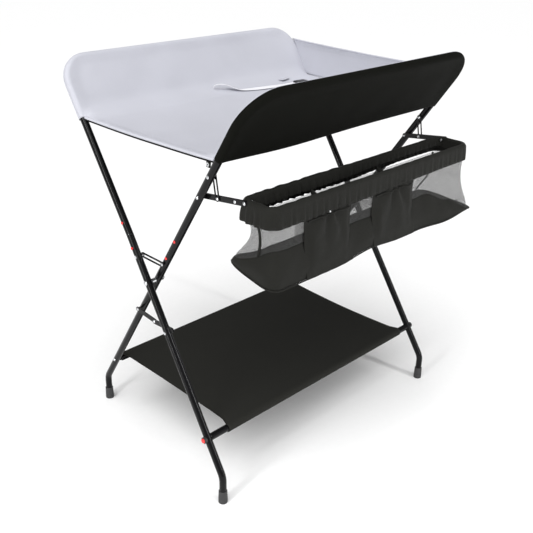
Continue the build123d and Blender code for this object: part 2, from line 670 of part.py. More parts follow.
with BuildPart() as stay:
    run = STAY_PIN - STAY_ROOT
    turn = Vector(0, 1, 0).get_signed_angle(run, Vector(1, 0, 0))
    stay_plane = Plane.YZ.offset(STAY_X)
    slot_start = 11.0
    with BuildSketch(stay_plane):
        with Locations(Location((STAY_ROOT.Y, STAY_ROOT.Z, 0), (0, 0, turn))):
            with Locations((run.length / 2, 0)):
                SlotCenterToCenter(run.length, 13)
            with Locations(((slot_start + run.length) / 2, 0)):
                SlotCenterToCenter(run.length - slot_start, 2 * (PIN_R + STAY_PLAY), mode=Mode.SUBTRACT)
            Circle(RIVET_R + RUN, mode=Mode.SUBTRACT)
    extrude(amount=STAY_THICK)
mirrored_pair("basket_stays", [stay.part])

HOOP_PIN_X = HOOP_HALF_X - 3.5       # the pin runs through the hoop from inside
mirrored_pair("basket_arm_pins", [
    placed(rivet(ARM_X - FACE, STAY_X + STAY_THICK + FACE, PIN_R, 4.0, 1.6), STAY_PIN),
    placed(rivet(ARM_X - FACE, ARM_X + ARM_THICK + FACE, PIN_R, 4.0, 1.6), ARM_RIVET),
    placed(rivet(HOOP_PIN_X - HOOP_R - 3.8, ARM_X + ARM_THICK + FACE, PIN_R, 4.0, 1.6), ARM_TIP)])


# ---- basket ----------------------------------------------------------------------------------
def basket_ring(half_x, half_y, corner, low, high, wall):
    """Upright ring wall with rounded corners around the middle of the basket."""
    with BuildPart() as ring:
        with BuildSketch(Plane.XY.offset(low)):
            with Locations((0, HOOP_Y)):
                RectangleRounded(2 * half_x, 2 * half_y, corner)
                RectangleRounded(2 * (half_x - wall), 2 * (half_y - wall), corner - wall, mode=Mode.SUBTRACT)
        extrude(amount=high - low)
    return ring.part


with BuildSketch(Plane.XY.offset(HOOP_Z)) as hoop_outline:
    with Locations((0, HOOP_Y)):
        RectangleRounded(2 * HOOP_HALF_X, 2 * HOOP_HALF_Y, HOOP_CORNER)
hoop_path = hoop_outline.sketch.face().outer_wire()
with BuildPart() as hoop:
    with BuildSketch(Plane(origin=hoop_path @ 0, z_dir=hoop_path % 0)):
        Circle(HOOP_R)
    sweep(path=hoop_path)
    cross_drill([Vector(side * HOOP_PIN_X, ARM_TIP.Y, ARM_TIP.Z) for _, side in SIDES], PIN_R + RUN, 20)
save(hoop, "basket_hoop")

# Cloth band around the hoop, notched where the arms enter it.
BAND_OUT = HOOP_R + GAP + BASKET_WALL
band_top = HOOP_Z + HOOP_R
band_low = band_top - BAND_TALL
band = basket_ring(HOOP_HALF_X + BAND_OUT, HOOP_HALF_Y + BAND_OUT, HOOP_CORNER + BAND_OUT,
                   band_low, band_top, BASKET_WALL)
with BuildPart() as basket_band:
    add(band)
    notch = ARM_TIP - ARM_OUT * 4
    with Locations(*[Location((side * (ARM_X + ARM_THICK / 2), notch.Y, notch.Z), (-ARM_RISE, 0, 0))
                     for _, side in SIDES]):
        Box(ARM_THICK + 18, 46, 19, mode=Mode.SUBTRACT)
save(basket_band, "basket_band")


def basket_outline(z, middle_y, half_x, half_y, corner):
    with BuildSketch(Plane.XY.offset(z)) as outline:
        with Locations((0, middle_y)):
            RectangleRounded(2 * half_x, 2 * half_y, corner)
    return outline.sketch


def basket_shell(name, high, low, floor=0.0):
    """Tapering wall between two outlines, each a z, middle y, two half-widths and a corner radius."""
    with BuildPart() as shell:
        loft([basket_outline(*low), basket_outline(*high)])
        inner_high = list(high[:2]) + [size - BASKET_WALL for size in high[2:]]
        inner_low = [low[0] + floor, low[1]] + [size - BASKET_WALL for size in low[2:]]
        loft([basket_outline(*inner_low), basket_outline(*inner_high)], mode=Mode.SUBTRACT)
    save(shell, name)


LEDGE_HALF_X = 356.0
LEDGE_HALF_Y = 72.0
LEDGE_CORNER = 34.0
LEDGE_Y = HOOP_Y + 12.0    # the bottom juts out more at the back than the rim does
basket_shell("basket_mesh_wall",
             (band_low - GAP, HOOP_Y,
              HOOP_HALF_X + BAND_OUT - 1, HOOP_HALF_Y + BAND_OUT - 1, HOOP_CORNER + 4),
             (BASKET_LEDGE_Z + GAP, LEDGE_Y, LEDGE_HALF_X, LEDGE_HALF_Y, LEDGE_CORNER))
basket_shell("basket_bottom",
             (BASKET_LEDGE_Z, LEDGE_Y, LEDGE_HALF_X + 1, LEDGE_HALF_Y + 1, LEDGE_CORNER),
             (BASKET_FLOOR_Z, LEDGE_Y - 10, LEDGE_HALF_X - 34, LEDGE_HALF_Y - 26, LEDGE_CORNER - 26),
             BASKET_WALL)

# Two gathered cloth pockets on the front wall.
POCKET_LOW_Z = BASKET_LEDGE_Z + 6
POCKET_HIGH_Z = band_low - 2
POCKETS = (("left", -188.0), ("right", 46.0))
POCKET_HALF = 78.0
POCKET_DEPTH = 28.0
front_wall_y = LEDGE_Y - LEDGE_HALF_Y - 3.0
for pocket_name, pocket_x in POCKETS:
    with BuildPart() as pocket:
        with BuildSketch(Plane.XZ.offset(-front_wall_y)):
            with Locations((pocket_x, (POCKET_LOW_Z + POCKET_HIGH_Z) / 2)):
                RectangleRounded(2 * POCKET_HALF, POCKET_HIGH_Z - POCKET_LOW_Z, 10)
        with BuildSketch(Plane.XZ.offset(-front_wall_y + POCKET_DEPTH)):
            with Locations((pocket_x, (POCKET_LOW_Z + POCKET_HIGH_Z) / 2)):
                RectangleRounded(2 * POCKET_HALF - 50, POCKET_HIGH_Z - POCKET_LOW_Z - 40, 14)
        loft()
    save(pocket, f"basket_pocket_{pocket_name}")

# Cloth dividers across the basket.
DIVIDERS = (-155.0, 85.0)
DIVIDER_HALF_Y = HOOP_HALF_Y - HOOP_R - 2.0
with BuildPart() as dividers:
    for divider_x in DIVIDERS:
        with BuildSketch(Plane.YZ.offset(divider_x)):
            with Locations((HOOP_Y, (BASKET_LEDGE_Z + band_low) / 2 + 8)):
                Rectangle(2 * DIVIDER_HALF_Y, band_low - BASKET_LEDGE_Z + 20)
        extrude(amount=1.0, both=True)
save(dividers, "basket_dividers")
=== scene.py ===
import json
import math
import bmesh
import bpy
from mathutils import Matrix, Vector, noise


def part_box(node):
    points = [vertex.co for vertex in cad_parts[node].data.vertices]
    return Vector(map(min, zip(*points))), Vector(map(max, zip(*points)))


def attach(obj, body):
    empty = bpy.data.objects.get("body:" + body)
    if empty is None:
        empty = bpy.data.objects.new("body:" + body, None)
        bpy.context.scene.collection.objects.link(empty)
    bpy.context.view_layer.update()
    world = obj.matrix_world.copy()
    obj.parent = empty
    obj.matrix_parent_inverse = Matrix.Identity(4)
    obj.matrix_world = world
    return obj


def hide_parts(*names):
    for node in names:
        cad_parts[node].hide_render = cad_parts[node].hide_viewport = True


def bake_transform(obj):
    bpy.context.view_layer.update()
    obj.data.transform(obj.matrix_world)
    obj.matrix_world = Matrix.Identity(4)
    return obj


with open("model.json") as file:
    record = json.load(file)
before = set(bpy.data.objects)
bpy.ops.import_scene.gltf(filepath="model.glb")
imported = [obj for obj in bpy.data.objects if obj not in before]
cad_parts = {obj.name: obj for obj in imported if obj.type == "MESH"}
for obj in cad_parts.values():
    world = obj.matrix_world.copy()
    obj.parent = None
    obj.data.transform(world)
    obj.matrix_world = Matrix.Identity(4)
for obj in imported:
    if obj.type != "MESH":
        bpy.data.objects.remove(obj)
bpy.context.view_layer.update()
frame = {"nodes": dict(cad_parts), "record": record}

# The folding changing table's looks, in metres. +X runs along the table, -Y is the front with the
# basket. The rear wing leans with the outer frame, and the front wing with the inner frame.

JOINTS = {joint["name"]: joint for joint in frame["record"]["behaviour"]["joints"]}
PIVOT = Vector(JOINTS["fold"]["pos_m"])
LEAN = math.radians(33.6)
LEAN_Y, LEAN_Z = math.sin(LEAN), math.cos(LEAN)
TUBE_R = 0.009
CLOTH_R = TUBE_R + 0.0012          # cloth wrapped round a tube
REAR, FRONT = 1, -1                # lean of the outer and of the inner frame
BED_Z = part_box("bed_cloth")[1].z
BED_FAR_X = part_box("end_panel")[0].x
LIP_TOP_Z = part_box("end_panel")[1].z
LIP_LEAN = 0.006


def smooth(t):
    t = min(1.0, max(0.0, t))
    return t * t * (3 - 2 * t)


def mix(a, b, t):
    return a + (b - a) * t


def wander(x, y, z, seed, scale):
    """Smooth noise about -1 to 1, different for each seed."""
    return noise.noise(Vector((x, y, z)) * scale + Vector((seed * 7.3, seed * 3.1, seed)))


# ---- materials -------------------------------------------------------------------------------
class Nodes:
    """A material's node tree, with short calls for the nodes used here."""

    def __init__(self, name):
        self.material = bpy.data.materials.new(name)
        self.material.use_nodes = True
        self.tree = self.material.node_tree
        self.shader = self.tree.nodes["Principled BSDF"]

    def add(self, kind, **inputs):
        node = self.tree.nodes.new(kind)
        for key, value in inputs.items():
            self.plug(value, node.inputs[key.replace("_", " ")])
        return node

    def plug(self, value, socket):
        if isinstance(value, bpy.types.NodeSocket):
            self.tree.links.new(value, socket)
        else:
            socket.default_value = value

    def math(self, operation, first, second=0.0):
        node = self.tree.nodes.new("ShaderNodeMath")
        node.operation = operation
        for value, socket in zip((first, second), node.inputs):
            self.plug(value, socket)
        return node.outputs[0]

    def place(self):
        return self.add("ShaderNodeTexCoord").outputs["Object"]

    def noise(self, scale, detail=3.0, where=None, rough=0.5):
        node = self.add("ShaderNodeTexNoise", Scale=scale, Detail=detail, Roughness=rough)
        self.plug(where or self.place(), node.inputs["Vector"])
        return node.outputs["Fac"]

    def colour(self, share, low, high):
        node = self.tree.nodes.new("ShaderNodeMix")
        node.data_type = "RGBA"
        self.plug(share, node.inputs["Factor"])
        self.plug((*low, 1.0), node.inputs[6])
        self.plug((*high, 1.0), node.inputs[7])
        return node.outputs[2]

    def bump(self, height, strength, distance, under=None):
        node = self.add("ShaderNodeBump", Height=height, Strength=strength, Distance=distance)
        if under:
            self.plug(under, node.inputs["Normal"])
        return node.outputs["Normal"]

    def set(self, **inputs):
        for key, value in inputs.items():
            self.plug(value, self.shader.inputs[key.replace("_", " ")])
        return self


def weave(nodes, pitch):
    """Plain weave over the cloth's own UV map, which is in metres. Returns its height."""
    uv = nodes.tree.nodes.new("ShaderNodeUVMap")
    uv.uv_map = "cloth"
    split = nodes.add("ShaderNodeSeparateXYZ", Vector=uv.outputs[0])
    warp = nodes.math("SINE", nodes.math("MULTIPLY", split.outputs[0], math.pi / pitch))
    weft = nodes.math("SINE", nodes.math("MULTIPLY", split.outputs[1], math.pi / pitch))
    over = nodes.math("GREATER_THAN", nodes.math("MULTIPLY", warp, weft), 0.0)
    warp_high = nodes.math("MULTIPLY", nodes.math("ABSOLUTE", warp), over)
    weft_high = nodes.math("MULTIPLY", nodes.math("ABSOLUTE", weft), nodes.math("SUBTRACT", 1.0, over))
    return nodes.math("ADD", warp_high, weft_high)


def cloth_material(name, dark, light, pitch, sheen, roughness, crumple=0.12, gloss=0.12):
    """Woven cloth: thread bump, slight patchiness of colour, fine crumples and a soft sheen."""
    nodes = Nodes(name)
    threads = weave(nodes, pitch)
    patches = nodes.noise(9.0, 4.0)
    grain = nodes.noise(260.0, 2.0)
    share = nodes.math("ADD", nodes.math("MULTIPLY", patches, 0.55), nodes.math("MULTIPLY", grain, 0.2))
    share = nodes.math("ADD", share, nodes.math("MULTIPLY", threads, 0.2))
    folds = nodes.bump(nodes.noise(26.0, 5.0, rough=0.6), crumple, 0.004)
    nodes.set(Base_Color=nodes.colour(share, dark, light),
              Roughness=nodes.math("ADD", nodes.math("MULTIPLY", patches, 0.12), roughness - 0.06),
              Normal=nodes.bump(threads, 0.35, 0.0003, folds), Sheen_Weight=sheen,
              Sheen_Roughness=0.45, Specular_IOR_Level=gloss)
    return nodes.material


def paint_material(name, base, roughness):
    """Black powder coat over steel tube: faint orange peel and worn, slightly duller patches."""
    nodes = Nodes(name)
    peel = nodes.noise(620.0, 2.0)
    wear = nodes.noise(14.0, 5.0)
    nodes.set(Base_Color=nodes.colour(wear, base, tuple(1.7 * c for c in base)),
              Roughness=nodes.math("ADD", nodes.math("MULTIPLY", wear, 0.12), roughness - 0.05),
              Normal=nodes.bump(peel, 0.05, 0.0004), Specular_IOR_Level=0.1, Coat_Weight=0.18,
              Coat_Roughness=0.06)
    return nodes.material


def zinc_material(name):
    nodes = Nodes(name)
    spangle = nodes.noise(330.0, 4.0)
    nodes.set(Base_Color=nodes.colour(spangle, (0.5, 0.51, 0.53), (0.78, 0.79, 0.8)), Metallic=1.0,
              Roughness=nodes.math("ADD", nodes.math("MULTIPLY", spangle, 0.22), 0.16),
              Normal=nodes.bump(nodes.noise(900.0, 2.0), 0.08, 0.0002))
    return nodes.material


def moulded_material(name, base, roughness, grain):
    """Moulded plastic or rubber with a fine spark-eroded grain."""
    nodes = Nodes(name)
    specks = nodes.noise(grain, 3.0)
    nodes.set(Base_Color=nodes.colour(nodes.noise(45.0), base, tuple(min(1, 1.35 * c) for c in base)),
              Roughness=nodes.math("ADD", nodes.math("MULTIPLY", specks, 0.14), roughness - 0.07),
              Normal=nodes.bump(specks, 0.14, 0.0004))
    return nodes.material


def mesh_material(name):
    """Open netting: two sets of diagonal threads, clear between them."""
    nodes = Nodes(name)
    pitch, cover = 0.0026, 0.42
    uv = nodes.tree.nodes.new("ShaderNodeUVMap")
    uv.uv_map = "cloth"
    split = nodes.add("ShaderNodeSeparateXYZ", Vector=uv.outputs[0])
    threads = []
    for operation in ("ADD", "SUBTRACT"):
        slant = nodes.math(operation, split.outputs[0], nodes.math("MULTIPLY", split.outputs[1], 0.75))
        ridge = nodes.math("ABSOLUTE", nodes.math("SINE", nodes.math("MULTIPLY", slant, math.pi / pitch)))
        threads.append(nodes.math("LESS_THAN", ridge, cover))
    net = nodes.math("MAXIMUM", *threads)
    nodes.set(Base_Color=nodes.colour(nodes.noise(60.0), (0.022, 0.022, 0.022), (0.05, 0.05, 0.048)),
              Roughness=0.7, Alpha=net, Sheen_Weight=0.2)
    return nodes.material


PAINT = paint_material("black_paint", (0.003, 0.003, 0.0033), 0.2)
ZINC = zinc_material("zinc")
RED = moulded_material("red_plastic", (0.62, 0.022, 0.02), 0.34, 500.0)
PLASTIC = moulded_material("black_plastic", (0.018, 0.018, 0.019), 0.42, 700.0)
RUBBER = moulded_material("black_rubber", (0.026, 0.026, 0.027), 0.62, 480.0)
PALE = cloth_material("pale_cloth", (0.44, 0.445, 0.49), (0.55, 0.555, 0.61), 0.0007, 0.03, 0.6)
BLACK = cloth_material("black_cloth", (0.0022, 0.0024, 0.0016), (0.0052, 0.0054, 0.004), 0.0009, 0.0, 0.75,
                       gloss=0.06)
WEBBING = cloth_material("white_webbing", (0.72, 0.72, 0.75), (0.86, 0.86, 0.88), 0.0016, 0.2, 0.55, 0.03)
THREAD = cloth_material("pale_thread", (0.5, 0.5, 0.55), (0.62, 0.62, 0.67), 0.0005, 0.1, 0.6, 0.0)
# The shelf's black cloth is lighter than the cover's black cloth as painted light, standing in for light
# falling on its up-facing top.
SHELF_CLOTH_PAINTED_TOPLIT = cloth_material("shelf_cloth", (0.0135, 0.0135, 0.0115), (0.019, 0.019, 0.0165), 0.0011, 0.02,
                             0.8, 0.06)
# The basket's black cloth is lighter than the cover's. Partly this is the greyer nonwoven cloth's own colour,
# and partly it is painted light standing in for a flash from the front.
BASKET_CLOTH_GREYER_AND_FLASHLIT = cloth_material("basket_cloth_greyer_and_flashlit", (0.0075, 0.0075, 0.0062), (0.0165, 0.0165, 0.0142), 0.0008,
                              0.03, 0.7)
NETTING = mesh_material("black_netting")


# ---- meshes ----------------------------------------------------------------------------------
def mesh_object(name, points, faces, material, uvs=None, thickness=0.0, soften=0):
    """A smooth-shaded piece; uvs are metres along the cloth, one per point."""
    mesh = bpy.data.meshes.new(name)
    mesh.from_pydata([tuple(p) for p in points], [], faces)
    mesh.update()
    layer = mesh.uv_layers.new(name="cloth")
    for loop in mesh.loops:
        point = points[loop.vertex_index]
        layer.data[loop.index].uv = uvs[loop.vertex_index] if uvs else (point[0] + point[1], point[2])
    for polygon in mesh.polygons:
        polygon.use_smooth = True
    mesh.materials.append(material)
    piece = bpy.data.objects.new(name, mesh)
    bpy.context.scene.collection.objects.link(piece)
    if soften:
        piece.modifiers.new("soften", "SUBSURF").levels = soften
        piece.modifiers["soften"].render_levels = soften
    if thickness:
        shell = piece.modifiers.new("thickness", "SOLIDIFY")
        shell.thickness = abs(thickness)
        shell.offset = math.copysign(1.0, thickness)
        shell.use_even_offset = True
    return piece


def grid_object(name, rows, material, thickness=0.0, closed=False, soften=0):
    """A sheet through rows of points; closed joins each row's end to its start."""
    across = len(rows[0])
    points = [p for row in rows for p in row]
    uvs, along = [], 0.0
    for i, row in enumerate(rows):
        if i:
            along += (Vector(row[across // 2]) - Vector(rows[i - 1][across // 2])).length
        run = 0.0
        for j, point in enumerate(row):
            if j:
                run += (Vector(point) - Vector(row[j - 1])).length
            uvs.append((run, along))
    faces = []
    for i in range(len(rows) - 1):
        for j in range(across if closed else across - 1):
            k = (j + 1) % across
            faces.append((i * across + j, i * across + k, (i + 1) * across + k, (i + 1) * across + j))
    return mesh_object(name, points, faces, material, uvs, thickness, soften)


def close_ends(piece):
    """Fills the open ends of a tube or a lofted block."""
    shape = bmesh.new()
    shape.from_mesh(piece.data)
    bmesh.ops.holes_fill(shape, edges=[e for e in shape.edges if e.is_boundary])
    shape.to_mesh(piece.data)
    shape.free()


def tube_object(name, path, radius, material, sides=10, closed=False):
    """A round cord along a path."""
    path = [Vector(p) for p in path]
    rows = []
    for i, point in enumerate(path):
        ahead = path[(i + 1) % len(path)] if closed or i + 1 < len(path) else point
        behind = path[i - 1] if closed or i else point
        run = (ahead - behind).normalized()
        side = run.cross(Vector((0, 0, 1)))
        side = side.normalized() if side.length > 0.05 else run.cross(Vector((0, 1, 0))).normalized()
        up = side.cross(run)
        rows.append([point + side * math.cos(a) * radius + up * math.sin(a) * radius
                     for a in (2 * math.pi * k / sides for k in range(sides))])
    if closed:
        rows.append(rows[0])
    piece = grid_object(name, rows, material, closed=True)
    if not closed:
        close_ends(piece)
    return piece


def stitch_object(name, lines, material, length=0.0026, pitch=0.0038, radius=0.00032):
    """Rows of short thread stitches along lines of points, as one piece."""
    points, faces = [], []
    for line in lines:
        line = [Vector(p) for p in line]
        reach = [0.0]
        for a, b in zip(line, line[1:]):
            reach.append(reach[-1] + (b - a).length)
        count = int(reach[-1] / pitch)
        spot = 0
        for n in range(count):
            middle = (n + 0.5) * pitch
            while spot < len(line) - 2 and reach[spot + 1] < middle:
                spot += 1
            run = line[spot + 1] - line[spot]
            centre = line[spot] + run * ((middle - reach[spot]) / max(run.length, 1e-9))
            run.normalize()
            side = run.orthogonal().normalized()
            up = run.cross(side)
            start = len(points)
            for reach_share, width in ((-0.5, 0.35), (-0.3, 1.0), (0.3, 1.0), (0.5, 0.35)):
                for k in range(4):
                    a = math.pi / 2 * k
                    points.append(centre + run * length * reach_share
                                  + (side * math.cos(a) + up * math.sin(a)) * radius * width)
            for ring in range(3):
                for k in range(4):
                    a, b = start + ring * 4 + k, start + ring * 4 + (k + 1) % 4
                    faces.append((a, b, b + 4, a + 4))
            faces.append((start + 3, start + 2, start + 1, start))
            faces.append((start + 12, start + 13, start + 14, start + 15))
    return mesh_object(name, points, faces, material)


def finished(piece, body, slot, *nodes):
    """Hides the nodes a piece replaces and attaches it to its body; given two points in place of a body, it
    only bakes the piece's transform. The slot is not used.
    """
    if nodes:
        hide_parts(*nodes)
    if isinstance(body, tuple):
        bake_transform(piece)
    else:
        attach(piece, body)
    return piece


# ---- the sling -------------------------------------------------------------------------------
def on_leg(lean, r, x, lift):
    """Point r along a frame from the crossing; lift is towards the baby, square to the frame."""
    return Vector((x, PIVOT.y + lean * (r * LEAN_Y - lift * LEAN_Z), PIVOT.z + r * LEAN_Z + lift * LEAN_Y))


class Wing:
    """Outline of an upper rail: straight legs, rounded corners and the top rail."""

    def __init__(self, lean, rail_r, top_x, taper, corner):
        self.lean, self.rail_r, self.top_x, self.taper, self.corner = lean, rail_r, top_x, taper, corner

    def leg_x(self, r):
        return self.top_x - self.taper * (self.rail_r - r)

    def corner_point(self, turn):
        """(x, r, outward x, outward r) at a turn from the leg (0) to the rail (90 degrees)."""
        r = self.rail_r - self.corner * (1 - math.sin(turn))
        x = self.leg_x(r) - self.corner * (1 - math.cos(turn))
        return x, r, math.cos(turn), math.sin(turn)

    def stations(self, foot_r, rows, turns):
        """Stations from the foot of the wing up its leg and round the corner."""
        straight_top = self.rail_r - self.corner
        for i in range(rows):
            r = mix(foot_r, straight_top, i / rows)
            yield self.leg_x(r), r, 1.0, 0.0
        for i in range(turns + 1):
            yield self.corner_point(math.pi / 2 * i / turns)


REAR_RAIL_R, FRONT_RAIL_R = 0.583, 0.612       # top rail to crossing, along the leg
REAR_CORNER, FRONT_CORNER = 0.066, 0.084       # bend of the rails' corners
FRONT_TAPER = 0.0241                           # the front legs draw in this much per metre downwards
REAR_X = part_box("outer_rail_frame")[1].x - TUBE_R
FRONT_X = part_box("inner_rail_frame")[1].x - TUBE_R + FRONT_TAPER * FRONT_CORNER
WINGS = {
    REAR: Wing(REAR, REAR_RAIL_R, REAR_X, 0.0, REAR_CORNER),
    FRONT: Wing(FRONT, FRONT_RAIL_R, FRONT_X, FRONT_TAPER, FRONT_CORNER),
}
FOLD_R = (BED_Z - PIVOT.z - CLOTH_R * LEAN_Y) / LEAN_Z     # wing and bed meet here, along the leg
FOLD_Y = FOLD_R * LEAN_Y - CLOTH_R * LEAN_Z                # and this far from the crossing
BLEND = (Vector((0, PIVOT.y + FOLD_Y, BED_Z)), Vector((0, PIVOT.y - FOLD_Y, BED_Z)))
COLUMNS, BED_ROWS = 56, 30
WRAPS = 12
SEAM = {REAR: math.radians(124), FRONT: math.radians(36)}    # liner meets cover here round the tubes


def bed_half_x(v):
    """Half-length of the bed, from the front legs (v -1) to the rear legs (v 1)."""
    return mix(WINGS[FRONT].leg_x(FOLD_R), WINGS[REAR].leg_x(FOLD_R), (v + 1) / 2)


def bed_sag(u, v):
    """How far the cloth bed hangs below its edges; u runs -1 to 1 along, v -1 to 1 across."""
    middle = (1 - u ** 4) * (1 - v * v)
    return 0.006 * middle + 0.003 * (1 - v * v) + 0.0012 * wander(u * 2, v, 0, 3, 1.6) * (1 - v * v)


def sling_skin(name, inside, material):
    """The pale liner (inside 1) or the black cover (inside -1): both wings and the bed as one sheet."""
    points, uvs, faces, index = [], [], [], {}

    def add(key, point, uv):
        index[key] = len(points)
        points.append(point)
        uvs.append(uv)

    def quad(*keys):
        spots = [index[k] for k in keys]
        faces.append(tuple(spots if inside > 0 else reversed(spots)))

    foot_r = FOLD_R if inside > 0 else FOLD_R - 0.002
    last_row = {}
    along = 0.0
    for lean in (REAR, FRONT):
        wing = WINGS[lean]
        stations = list(wing.stations(foot_r, 12, 9))
        last_row[lean] = len(stations) - 1
        for i, (x, r, out_x, out_r) in enumerate(stations):
            climb = (r - foot_r) / (wing.rail_r - foot_r)
            for j in range(COLUMNS + 1):
                u = 2 * j / COLUMNS - 1
                edge = min(1 - abs(u), (1 - climb) * 0.5)
                slack = smooth(edge / 0.09) * smooth(climb * 4)
                dip = 0.0032 + 0.0022 * wander(u * 3, climb, 0, 5 + lean, 1.4)
                if inside < 0:
                    dip *= 0.8
                lift = inside * (CLOTH_R - dip * slack)
                if inside > 0:
                    lift += 0.006 * math.exp(-((r - foot_r) / 0.02) ** 2) * smooth((1 - abs(u)) / 0.1)
                shifted = r + (foot_shift(u) * (1 - climb) ** 3 if inside < 0 and lean == FRONT else 0.0)
                add((lean, i, j), on_leg(lean, shifted, u * x, lift), (u * x, along + lean * (r - foot_r)))
            for side in (-1, 1):
                for k in range(1, WRAPS + 1):
                    a = (SEAM[lean] if inside > 0 else math.pi - SEAM[lean]) * k / WRAPS
                    out = CLOTH_R * math.sin(a)
                    lift = inside * CLOTH_R * math.cos(a)
                    climbed = foot_shift(side) * (1 - climb) ** 3 if inside < 0 and lean == FRONT else 0.0
                    add((lean, i, side, k),
                        on_leg(lean, r + climbed + out * out_r, side * (x + out * out_x), lift),
                        (side * (x + CLOTH_R * a), along + lean * (r - foot_r)))
        top = last_row[lean]
        x, r = stations[-1][:2]
        for k in range(1, WRAPS + 1):
            a = (SEAM[lean] if inside > 0 else math.pi - SEAM[lean]) * k / WRAPS
            for j in range(1, COLUMNS):
                u = 2 * j / COLUMNS - 1
                add((lean, "top", k, j), on_leg(lean, r + CLOTH_R * math.sin(a), u * x,
                                                inside * CLOTH_R * math.cos(a)),
                    (u * x, along + lean * (r - foot_r + CLOTH_R * a)))
            index[(lean, "top", k, 0)] = index[(lean, top, -1, k)]
            index[(lean, "top", k, COLUMNS)] = index[(lean, top, 1, k)]
        for j in range(COLUMNS + 1):
            index[(lean, "top", 0, j)] = index[(lean, top, j)]
        for i in range(top + 1):
            index[(lean, i, -1, 0)] = index[(lean, i, 0)]
            index[(lean, i, 1, 0)] = index[(lean, i, COLUMNS)]

        def face(*keys):
            quad(*(keys if lean == FRONT else reversed(keys)))

        for i in range(top):
            for j in range(COLUMNS):
                face((lean, i, j), (lean, i, j + 1), (lean, i + 1, j + 1), (lean, i + 1, j))
            for k in range(WRAPS):
                face((lean, i, 1, k), (lean, i, 1, k + 1), (lean, i + 1, 1, k + 1), (lean, i + 1, 1, k))
                face((lean, i, -1, k + 1), (lean, i, -1, k), (lean, i + 1, -1, k), (lean, i + 1, -1, k + 1))
        for k in range(WRAPS):
            for j in range(COLUMNS):
                face((lean, "top", k, j), (lean, "top", k, j + 1),
                     (lean, "top", k + 1, j + 1), (lean, "top", k + 1, j))

    for i in range(1, BED_ROWS):
        v = 1 - 2 * i / BED_ROWS
        for j in range(COLUMNS + 1):
            u = 2 * j / COLUMNS - 1
            x = u * bed_half_x(v)
            if inside > 0:
                round_up = math.exp(-((1 - abs(v)) * FOLD_Y / 0.013) ** 2) * smooth((1 - abs(u)) / 0.1)
                y, z = v * FOLD_Y, BED_Z - bed_sag(u, v) + 0.0045 * round_up
            else:
                y = v * (foot_r * LEAN_Y + CLOTH_R * LEAN_Z)
                z = BED_Z - 0.006 - bed_sag(u, v) * 0.9
                z -= pouch(u) * smooth((abs(v) - 0.5) / 0.35)
            add(("bed", i, j), Vector((x, PIVOT.y + y, z)), (x, y))
    for j in range(COLUMNS + 1):
        index[("bed", 0, j)] = index[(REAR, 0, j)]
        index[("bed", BED_ROWS, j)] = index[(FRONT, 0, j)]
    for i in range(BED_ROWS):
        for j in range(COLUMNS):
            quad(("bed", i + 1, j), ("bed", i + 1, j + 1), ("bed", i, j + 1), ("bed", i, j))
    for j in range(COLUMNS + 1):
        for lean, row in ((REAR, 0), (FRONT, BED_ROWS)):
            chain = [(lean, i, j) for i in (3, 2, 1, 0)]
            chain += [("bed", row + step if lean == REAR else row - step, j) for step in (1, 2, 3)]
            spots = [index[key] for key in chain]
            for _ in range(9 if inside > 0 and 0 < j < COLUMNS else 0):
                for before, here, after in zip(spots, spots[1:], spots[2:]):
                    points[here] = (points[before] + points[here] * 2 + points[after]) / 4
    skin = mesh_object(name, points, faces, material, uvs, -0.0009 if inside > 0 else 0.0009, 1)
    shape = bmesh.new()
    shape.from_mesh(skin.data)
    bmesh.ops.recalc_face_normals(shape, faces=shape.faces[:])
    shape.verts.ensure_lookup_table()
    shape.normal_update()
    if shape.verts[index[("bed", BED_ROWS // 2, COLUMNS // 2)]].normal.z * inside < 0:
        bmesh.ops.reverse_faces(shape, faces=shape.faces[:])
    shape.to_mesh(skin.data)
    shape.free()
    return skin


def foot_shift(u):
    """The front cover's foot climbs the near leg and the far leg and sags a little between."""
    return mix(0.011, 0.007, (u + 1) / 2) - 0.010 * math.exp(-((u + 0.42) / 0.42) ** 2)


def pouch(u):
    """How far the slack black cloth hangs below the wing's foot, more near the near end."""
    return 0.0045 * math.exp(-((u + 0.6) / 0.3) ** 2) * smooth((1 - abs(u)) / 0.12)


def sling():
    liner = sling_skin("sling_liner", 1, PALE)
    cover = sling_skin("sling_cover", -1, BLACK)
    finished(liner, BLEND, "pale_fabric", "outer_wing_cover", "inner_wing_cover", "bed_cloth")
    finished(cover, BLEND, "black_fabric")


def end_panel():
    """The low panel across the far end: pale inside, black outside, leaning out a little."""
    across, up = 40, 10

    def spot(v, u, out):
        z = mix(BED_Z, LIP_TOP_Z, v)
        reach = (z - PIVOT.z) / LEAN_Z * LEAN_Y - CLOTH_R * 0.6
        sag = 0.004 * (1 - u * u) * v
        ripple = 0.0016 * wander(u * 2, v, 0, 9, 2.0) * (1 - abs(u) ** 6)
        x = bed_half_x(u) + LIP_LEAN * v + 0.003 * math.sin(math.pi * v) * (1 - u * u)
        return Vector((x + out + ripple, PIVOT.y + u * reach, z - sag))

    def rows(out):
        return [[spot(i / up, 2 * j / across - 1, out) for j in range(across + 1)] for i in range(up + 1)]

    pale = grid_object("end_panel_liner", rows(-0.0006), PALE, 0.0009, soften=1)
    black = grid_object("end_panel_cover", rows(0.0012), BLACK, 0.0009, soften=1)
    hem_line = [spot(1.0, 2 * j / 60 - 1, 0.0004) for j in range(61)]
    hem = tube_object("end_panel_hem", hem_line, 0.0024, PALE, 10)
    lines = [[spot(v, 2 * j / 60 - 1, -0.0015) for j in range(61)] for v in (0.94, 0.87)]
    stitches = stitch_object("end_panel_stitches", lines, THREAD)
    finished(pale, BLEND, "pale_fabric", "end_panel")
    finished(black, BLEND, "black_fabric")
    finished(hem, BLEND, "pale_fabric")
    finished(stitches, BLEND, "pale_fabric")


